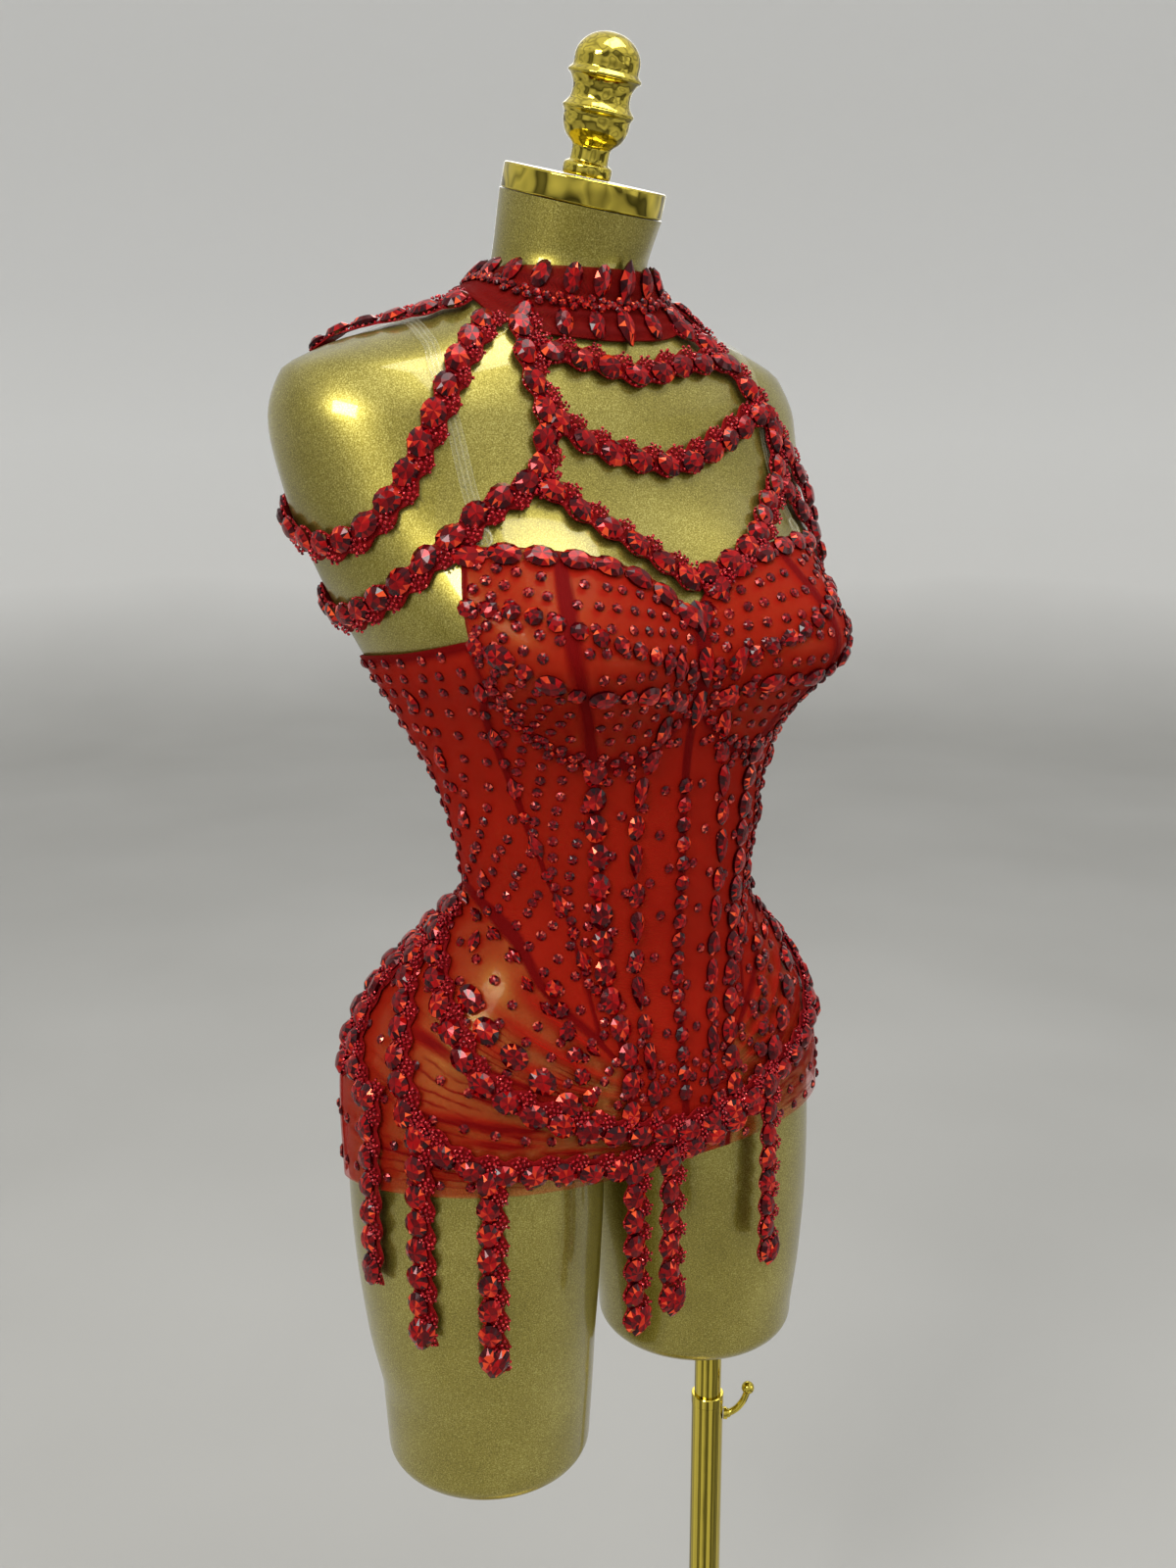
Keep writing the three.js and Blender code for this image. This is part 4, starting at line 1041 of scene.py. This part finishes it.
hemSwag = [
    [-75, 888], [-66, 866], [-57, 858], [-43, 855], [-28, 850], [-8, 851], [10, 856], [28, 866], [40, 882],
]
# each tassel's angle, top and end
tassels = [
    (-85, 906, 763), (-73, 888, 728), (-59, 860, 710), (-21, 853, 722), (-7, 853, 728), (37, 884, 734),
    (99, 903, 750),
]
tasselLeaves = 846  # the height under which a tassel hangs free


def strapAlong(points, along, side, out, lift):
    # the scalloped tape of one strap, with its large stones and the lumps of seed stones between them
    run = runOf(points)
    length = run[-1]
    placed = lambda where: (
        sampled(where, run, points), *(unit(sampled(where, run, way)) for way in (along, side, out))
    )
    wants = np.linspace(0, length, max(6, round(length / gem["step"])) + 1)
    p, _, s, o = placed(wants)
    count = max(1, round(length / gem["pitch"]))
    cell = length / count
    turn = (wants / length * count + 0.5) * 2 * math.pi
    big, lump = 0.5 + 0.5 * np.cos(turn), 0.5 - 0.5 * np.cos(turn)
    left = -(6.4 + 4.0 * big**0.7)
    right = 6.2 + 5.0 * lump**0.7 + 0.8 * big
    high = lift + gem["tape"]
    profile = [(left, lift), (right, lift), (right - 0.5, high), (left + 0.5, high)]
    rings = np.stack([p + s * a[:, None] + o * h for a, h in profile], 1)
    middles = (np.arange(count) + 0.5) * length / count
    p, a, s, o = placed(middles)
    tilt = unit(o + s * random.uniform(-0.16, 0.16, (count, 1)) + a * random.uniform(-0.12, 0.12, (count, 1)))
    ways = turnedWay(a, s, random.uniform(-26, 26, count))
    ways = unit(ways - tilt * (ways * tilt).sum(-1, keepdims=True))
    setStones("oval", p - s * gem["offset"] + o * high, ways, tilt, *gem["oval"])
    lumps = np.clip(np.r_[middles[0] - 0.5 * cell, middles + 0.5 * cell], 4, length - 7)
    p, a, s, o = placed(lumps)
    for k in range(gem["perLump"]):
        r = gem["lump"] * math.sqrt((k + 0.5) / gem["perLump"])
        turn = k * 2.39996 + random.uniform(-0.2, 0.2, (len(lumps), 1))
        dome = 2.8 * (1 - (r / (gem["lump"] * 1.2)) ** 2)
        aside, ahead = gem["lumpOffset"] + r * np.cos(turn), r * 1.05 * np.sin(turn)
        lean = unit(o + (s * np.cos(turn) + a * np.sin(turn)) * (r / gem["lump"] * 0.55))
        spots = p + s * aside + a * ahead + o * (high + dome)
        setStones("glitter", spots, unit(np.cross(lean, a)), lean, *gem["seed"])
    edge = (np.arange(count * 6) + 0.5) * length / (count * 6)
    p, a, s, o = placed(edge)
    swell = np.cos(edge / length * count * 2 * math.pi + math.pi)[:, None]
    spots = p - s * (7.4 + 2.4 * swell) + o * (lift + gem["tape"] * 0.7)
    setStones("glitter", spots, a, unit(o - s * 0.5), *gem["edge"])
    return rings.reshape(-1, 3), ringFaces(len(wants), 4), length


def strapOn(way, lift):
    return strapAlong(*bodyStations(way, 3.0), lift)


def tasselFrom(angle, top, end, lift):
    z = np.linspace(top, end, max(4, round((top - end) / 3)) + 1)
    angles, held = np.full_like(z, angle), np.maximum(z, tasselLeaves)
    points = skinPoint(angles, held)
    points[:, 2] = z
    points, along, side, out = stations(points, skinNormal(angles, held))
    # a long oval set aslant closes the end
    tip = points[-1] - along[-1] * 8 + side[-1] * 3 + out[-1] * (lift + gem["tape"] + 1.2)
    setStones("oval", tip, unit(along[-1] - side[-1] * 0.55), out[-1], *gem["tip"])
    return strapAlong(points, along, side, out, lift)


def tapePiece(name, node, strips):
    points, faces, total, count = [], [], 0, 0
    for p, f, length in strips:
        faces += [[v + count for v in face] for face in f]
        points.append(p)
        total += length
        count += len(p)
    piece = makePiece(name, np.vstack(points), faces, tapeMesh, sharp=40)
    across = np.tile([0, 20, 19, 1], count // 4)
    along = np.repeat(np.arange(count // 4) * gem["step"], 4)
    paintCloth(piece, np.full(count, 0.97), np.zeros(count), across, along)
    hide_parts(node)
    cutSizes[name] = (0.021, round(total * mm, 3), None)


tapePiece("armStrapTape", "arm_strap", [strapOn(armUpper, strapLift)])
tapePiece("harnessTape", "harness", [strapOn(way, strapLift) for way in harness])
hipLift = clothTop + 1.6
tasselLift = clothTop + 2.4
hipStrips = [strapOn(way, hipLift) for line in hipLines for way in (line, mirrored(line))]
hipStrips += [strapOn(hipSwag, hipLift), strapOn(hemSwag, hipLift)]
hipStrips += [tasselFrom(*tassel, tasselLift) for tassel in tassels]
tapePiece("hipStrapTape", "hip_straps", hipStrips)
print("straps ready")


def stoneTree():
    # sets a cut blank on each place, turned and sized by the place's own attributes
    tree = bpy.data.node_groups.new("stoneSetting", "GeometryNodeTree")
    work = Wiring(tree)
    for name, kind, value in (
        ("Places", "Geometry", None), ("Sides", "Int", 10), ("Table", "Float", 0.52), ("Girdle", "Float", 0.38),
        ("Pointed", "Float", 0.0), ("Tapered", "Float", 0.0), ("Seed", "Int", 1), ("Finish", "Material", None),
    ):
        socket = tree.interface.new_socket(name, in_out="INPUT", socket_type="NodeSocket" + kind)
        if value is not None:
            socket.default_value = value
    tree.interface.new_socket("Stones", in_out="OUTPUT", socket_type="NodeSocketGeometry")
    given = work.node("NodeGroupInput").outputs
    value = lambda name: Amount(work, given[name])
    blank = work.node("GeometryNodeMeshCone", {"fill_type": "TRIANGLE_FAN"}, {
        "Vertices": given["Sides"], "Side Segments": 2, "Fill Segments": 1,
        "Radius Top": 0.5, "Radius Bottom": 1.0, "Depth": 1.0,
    })
    spot = work.node("ShaderNodeSeparateXYZ", {}, {0: work.node("GeometryNodeInputPosition")})
    x, y, z = (Amount(work, spot.outputs[c]) for c in range(3))
    low, high = z.maths("LESS_THAN", 0.25), z.maths("GREATER_THAN", 0.75)
    waist = 1 - low - high
    swell = low * 0.93 + waist * (1 / 0.75) + high * (value("Table") * 2)
    half = math.pi / value("Sides")
    turn = high * half
    cos, sin = turn.maths("COSINE"), turn.maths("SINE")
    x1, y1 = (x * cos - y * sin) * swell, (x * sin + y * cos) * swell
    narrowed = 0.34 + 0.34 * y1 + 0.22 * y1.maths("MAXIMUM", 0) * y1
    x2 = x1 * (1 - value("Pointed") * y1 * y1) * (1 - value("Tapered") * narrowed)
    # the middle of the flat top stands a little up, so that its cuts run from it
    middle = (x * x + y * y).maths("LESS_THAN", 0.01)
    z2 = waist * value("Girdle") + high * (0.92 + middle * 0.08)
    moved = work.node("ShaderNodeCombineXYZ", {}, {0: x2, 1: y1, 2: z2})
    shaped = work.node("GeometryNodeSetPosition", {}, {"Geometry": blank.outputs[0], "Position": moved})

    def stored(geometry, name, domain, values):
        settings = {"data_type": "FLOAT", "domain": domain}
        inputs = {"Geometry": geometry, "Name": name, "Value": values}
        return work.node("GeometryNodeStoreNamedAttribute", settings, inputs)

    def chance():
        drawn = work.node("FunctionNodeRandomValue", {"data_type": "FLOAT"}, {"Seed": given["Seed"]})
        return drawn.outputs[1]

    def named(name):
        return work.node("GeometryNodeInputNamedAttribute", {"data_type": "FLOAT_VECTOR"}, {"Name": name})

    cut = work.node("GeometryNodeTriangulate", {}, {0: stored(shaped, "level", "FACE", z2)})
    axes = {"primary_axis": "Z", "secondary_axis": "Y"}
    turned = work.node("FunctionNodeAxesToRotation", axes, {0: named("out"), 1: named("along")})
    placed = work.node("GeometryNodeInstanceOnPoints", {}, {
        "Points": given["Places"], "Instance": cut, "Rotation": turned, "Scale": named("size"),
    })
    # random numbers per stone and per cut face: the stone finishes use them for roughness and turn them into
    # painted glints and painted glow
    real = work.node("GeometryNodeRealizeInstances", {}, {0: stored(placed, "tone", "INSTANCE", chance())})
    sparked = stored(real, "spark", "FACE", chance())
    done = work.node("GeometryNodeSetMaterial", {}, {"Geometry": sparked, "Material": given["Finish"]})
    work.node("NodeGroupOutput", {}, {0: done})
    return tree


def setPiece(name, tree, places, settings):
    mesh = bpy.data.meshes.new(name)
    mesh.from_pydata((places[:, :3] * mm).tolist(), [], [])
    size = places[:, 9:12] * [0.5, 0.5, 1] * mm
    for key, block in (("along", places[:, 3:6]), ("out", places[:, 6:9]), ("size", size)):
        mesh.attributes.new(key, "FLOAT_VECTOR", "POINT").data.foreach_set("vector", block.ravel())
    piece = bpy.data.objects.new(name, mesh)
    bpy.context.collection.objects.link(piece)
    setting = piece.modifiers.new("stones", "NODES")
    setting.node_group = tree
    sockets = {item.name: item.identifier for item in tree.interface.items_tree if item.in_out == "INPUT"}
    for key, value in settings.items():
        setting[sockets[key]] = value
    piece.update_tag()
    done = bpy.data.meshes.new_from_object(piece.evaluated_get(bpy.context.evaluated_depsgraph_get()))
    piece.modifiers.clear()
    piece.data = done
    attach(piece, "figure")
    print(name, len(places), "stones,", len(done.polygons), "faces")


stoneCuts = {
    "oval": {"Sides": 12, "Table": 0.60, "Girdle": 0.40, "Seed": 3, "Finish": redStone},
    "round": {"Sides": 8, "Table": 0.56, "Girdle": 0.38, "Seed": 7, "Finish": redStone},
    "small": {"Sides": 8, "Table": 0.50, "Girdle": 0.38, "Seed": 5, "Finish": smallStone},
    "navette": {"Sides": 12, "Table": 0.52, "Girdle": 0.36, "Pointed": 0.82, "Seed": 11, "Finish": redStone},
    "drop": {"Sides": 12, "Table": 0.56, "Girdle": 0.36, "Tapered": 0.9, "Seed": 17, "Finish": redStone},
    "glitter": {"Sides": 5, "Table": 0.56, "Girdle": 0.34, "Seed": 23, "Finish": glitterStone},
}
glitterSplit = 1100  # the seed stones are two pieces, over and under the waist
tree = stoneTree()
for kind, cutOf in stoneCuts.items():
    places = np.vstack(stones[kind])
    if kind == "glitter":
        above = places[:, 2] > glitterSplit
        setPiece("glitterAbove", tree, places[above], cutOf)
        setPiece("glitterBelow", tree, places[~above], cutOf)
    else:
        setPiece(kind + "Stones", tree, places, cutOf)
print("stones set")

elastic = {"out": 1.2, "thick": 0.8, "width": 10, "ribs": 3, "rib": 0.2}
hook = {"wide": 10, "long": 12, "wire": 0.85, "open": 70}
clearLine = [
    [-50.5, 1273], [-53, 1306], [-56, 1348], [-62, 1384], [-69, 1400], [-79, 1409], [-90, 1413], [-102, 1409],
    [-113, 1398], [-121, 1380], [-128, 1350], [-133, 1305], [-137, 1255], [-139, 1205], [-139, 1190.8],
]


def clearStrap(way, node, name):
    points, along, side, out = bodyStations(way, 5)
    cells = elastic["ribs"] * 4
    half = elastic["width"] / 2
    profile = [(-half + 0.3, 0, 0), (half - 0.3, 0, 0)]
    for k in range(cells + 1):
        rib = 1 if k % 4 == 0 else 0
        profile.append((half - elastic["width"] * k / cells, elastic["thick"] + elastic["rib"] * rib, rib))
    rings = np.stack([points + side * a + out * (elastic["out"] + h) for a, h, _ in profile], 1)
    rings = rings.reshape(-1, 3)
    faces = ringFaces(len(points), len(profile))
    ribs = np.tile([rib for _, _, rib in profile], len(points))
    # an open hook of clear wire at the front end
    turn = np.radians(np.linspace(hook["open"], 360, 30))[:, None]
    centre = points[0] + along[0] * (hook["long"] / 2 - 2) + out[0] * (elastic["out"] + 1.6)
    loop = centre + np.sin(turn) * side[0] * hook["wide"] / 2 - np.cos(turn) * along[0] * hook["long"] / 2
    tube, tubeFaces = sweptTube(loop, np.full(len(loop), hook["wire"]), 8, out[0])
    faces += [[v + len(rings) for v in face] for face in tubeFaces]
    piece = makePiece(name, np.concatenate([rings, tube]), faces, clearElastic, sharp=50)
    storeValue(piece, "rib", np.r_[ribs, np.full(len(tube), 0.8)])
    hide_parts(node)


clearStrap(clearLine, "clear_strap_right", "clearStrapRight")
clearStrap(mirrored(clearLine), "clear_strap_left", "clearStrapLeft")
print("clear straps ready")

studio = {
    "floor": 6, "rise": 3.4, "wall": 7, "sides": 96,
    "world": 0.92, "key": 50, "fill": 11, "rim": 8, "top": 26,
}
# places in metres, angles in degrees
view = {
    "place": (-0.6107, -0.8908, 1.332), "towards": (0.559, 0.829), "tilt": 12.5,
    "lens": 34.875, "sensor": 36, "shift": -2 / 1600,
}


def plainFloor():
    look = Finish("floorPaper", {"Roughness": 0.75, "Specular IOR Level": 0.2})
    height = Amount(look, look.node("ShaderNodeSeparateXYZ", {}, {0: look.places}).outputs[2])
    # painted shade: the backdrop is painted darker on the floor and lighter up the wall
    paintedShadeGreys = [
        (0.0, (0.43, 0.425, 0.40)), (0.08, (0.56, 0.555, 0.53)), (0.28, (0.84, 0.835, 0.81)),
        (0.60, (0.88, 0.88, 0.86)), (1.0, (0.84, 0.84, 0.825)),
    ]
    look.feed(Base_Color=look.ramp(height * 0.42 + look.noise(900, 2) * 0.06, paintedShadeGreys))
    # a flat floor that curves up into a wall all round
    reach, rise = studio["floor"], studio["rise"]
    profile = [(0.05, 0), (2, 0), (4, 0)]
    bend = np.linspace(0, math.pi / 2, 14)
    profile += [(reach + rise * math.sin(a), rise * (1 - math.cos(a))) for a in bend]
    profile.append((reach + rise, studio["wall"]))
    rings = np.concatenate([levelRing(0, 0, r, r, z, studio["sides"]) for r, z in profile]) / mm
    faces = [face[::-1] for face in ringFaces(len(profile), studio["sides"], capped=False)]
    floor = makePiece("floor", rings, faces + [list(range(studio["sides"]))], look.material, body=None)


def lamp(name, power, size, place, target=(0, 0, 1.1), colour=(1, 1, 1)):
    light = bpy.data.lights.new(name, "AREA")
    light.energy, light.shape, light.color = power, "RECTANGLE", colour
    light.size, light.size_y = size
    holder = bpy.data.objects.new(name, light)
    bpy.context.collection.objects.link(holder)
    holder.location = place
    holder.rotation_euler = (Vector(target) - Vector(place)).to_track_quat("-Z", "Y").to_euler()


def buildStudio():
    plainFloor()
    world = bpy.data.worlds.new("studio")
    bpy.context.scene.world = world
    bpy.context.scene.view_settings.view_transform = "Standard"
    world.use_nodes = True
    wiring = Wiring(world.node_tree)
    grey = {"Color": (0.80, 0.80, 0.80, 1), "Strength": studio["world"]}
    air = wiring.node("ShaderNodeBackground", {}, grey)
    wiring.node("ShaderNodeOutputWorld", {}, {"Surface": air})
    lamp("keyLight", studio["key"], (1.1, 0.8), (-2.6, -1.2, 2.9), colour=(1, 0.985, 0.96))
    lamp("fillLight", studio["fill"], (1.6, 1.6), (1.8, -2.6, 1.7))
    lamp("topLight", studio["top"], (1.6, 1.0), (0.3, -0.6, 3.2))
    lamp("backLight", studio["rim"], (1.2, 1.2), (1.6, 2.4, 2.4))
    camera = bpy.data.cameras.new("camera")
    camera.lens, camera.sensor_width, camera.shift_x = view["lens"], view["sensor"], view["shift"]
    camera.clip_start = 0.05
    holder = bpy.data.objects.new("camera", camera)
    bpy.context.collection.objects.link(holder)
    tilt = math.radians(view["tilt"])
    look = Vector((*(way * math.cos(tilt) for way in view["towards"]), -math.sin(tilt)))
    holder.location = view["place"]
    holder.rotation_euler = look.to_track_quat("-Z", "Y").to_euler()
    bpy.context.scene.camera = holder


buildStudio()
print("cut sizes", json.dumps(cutSizes))
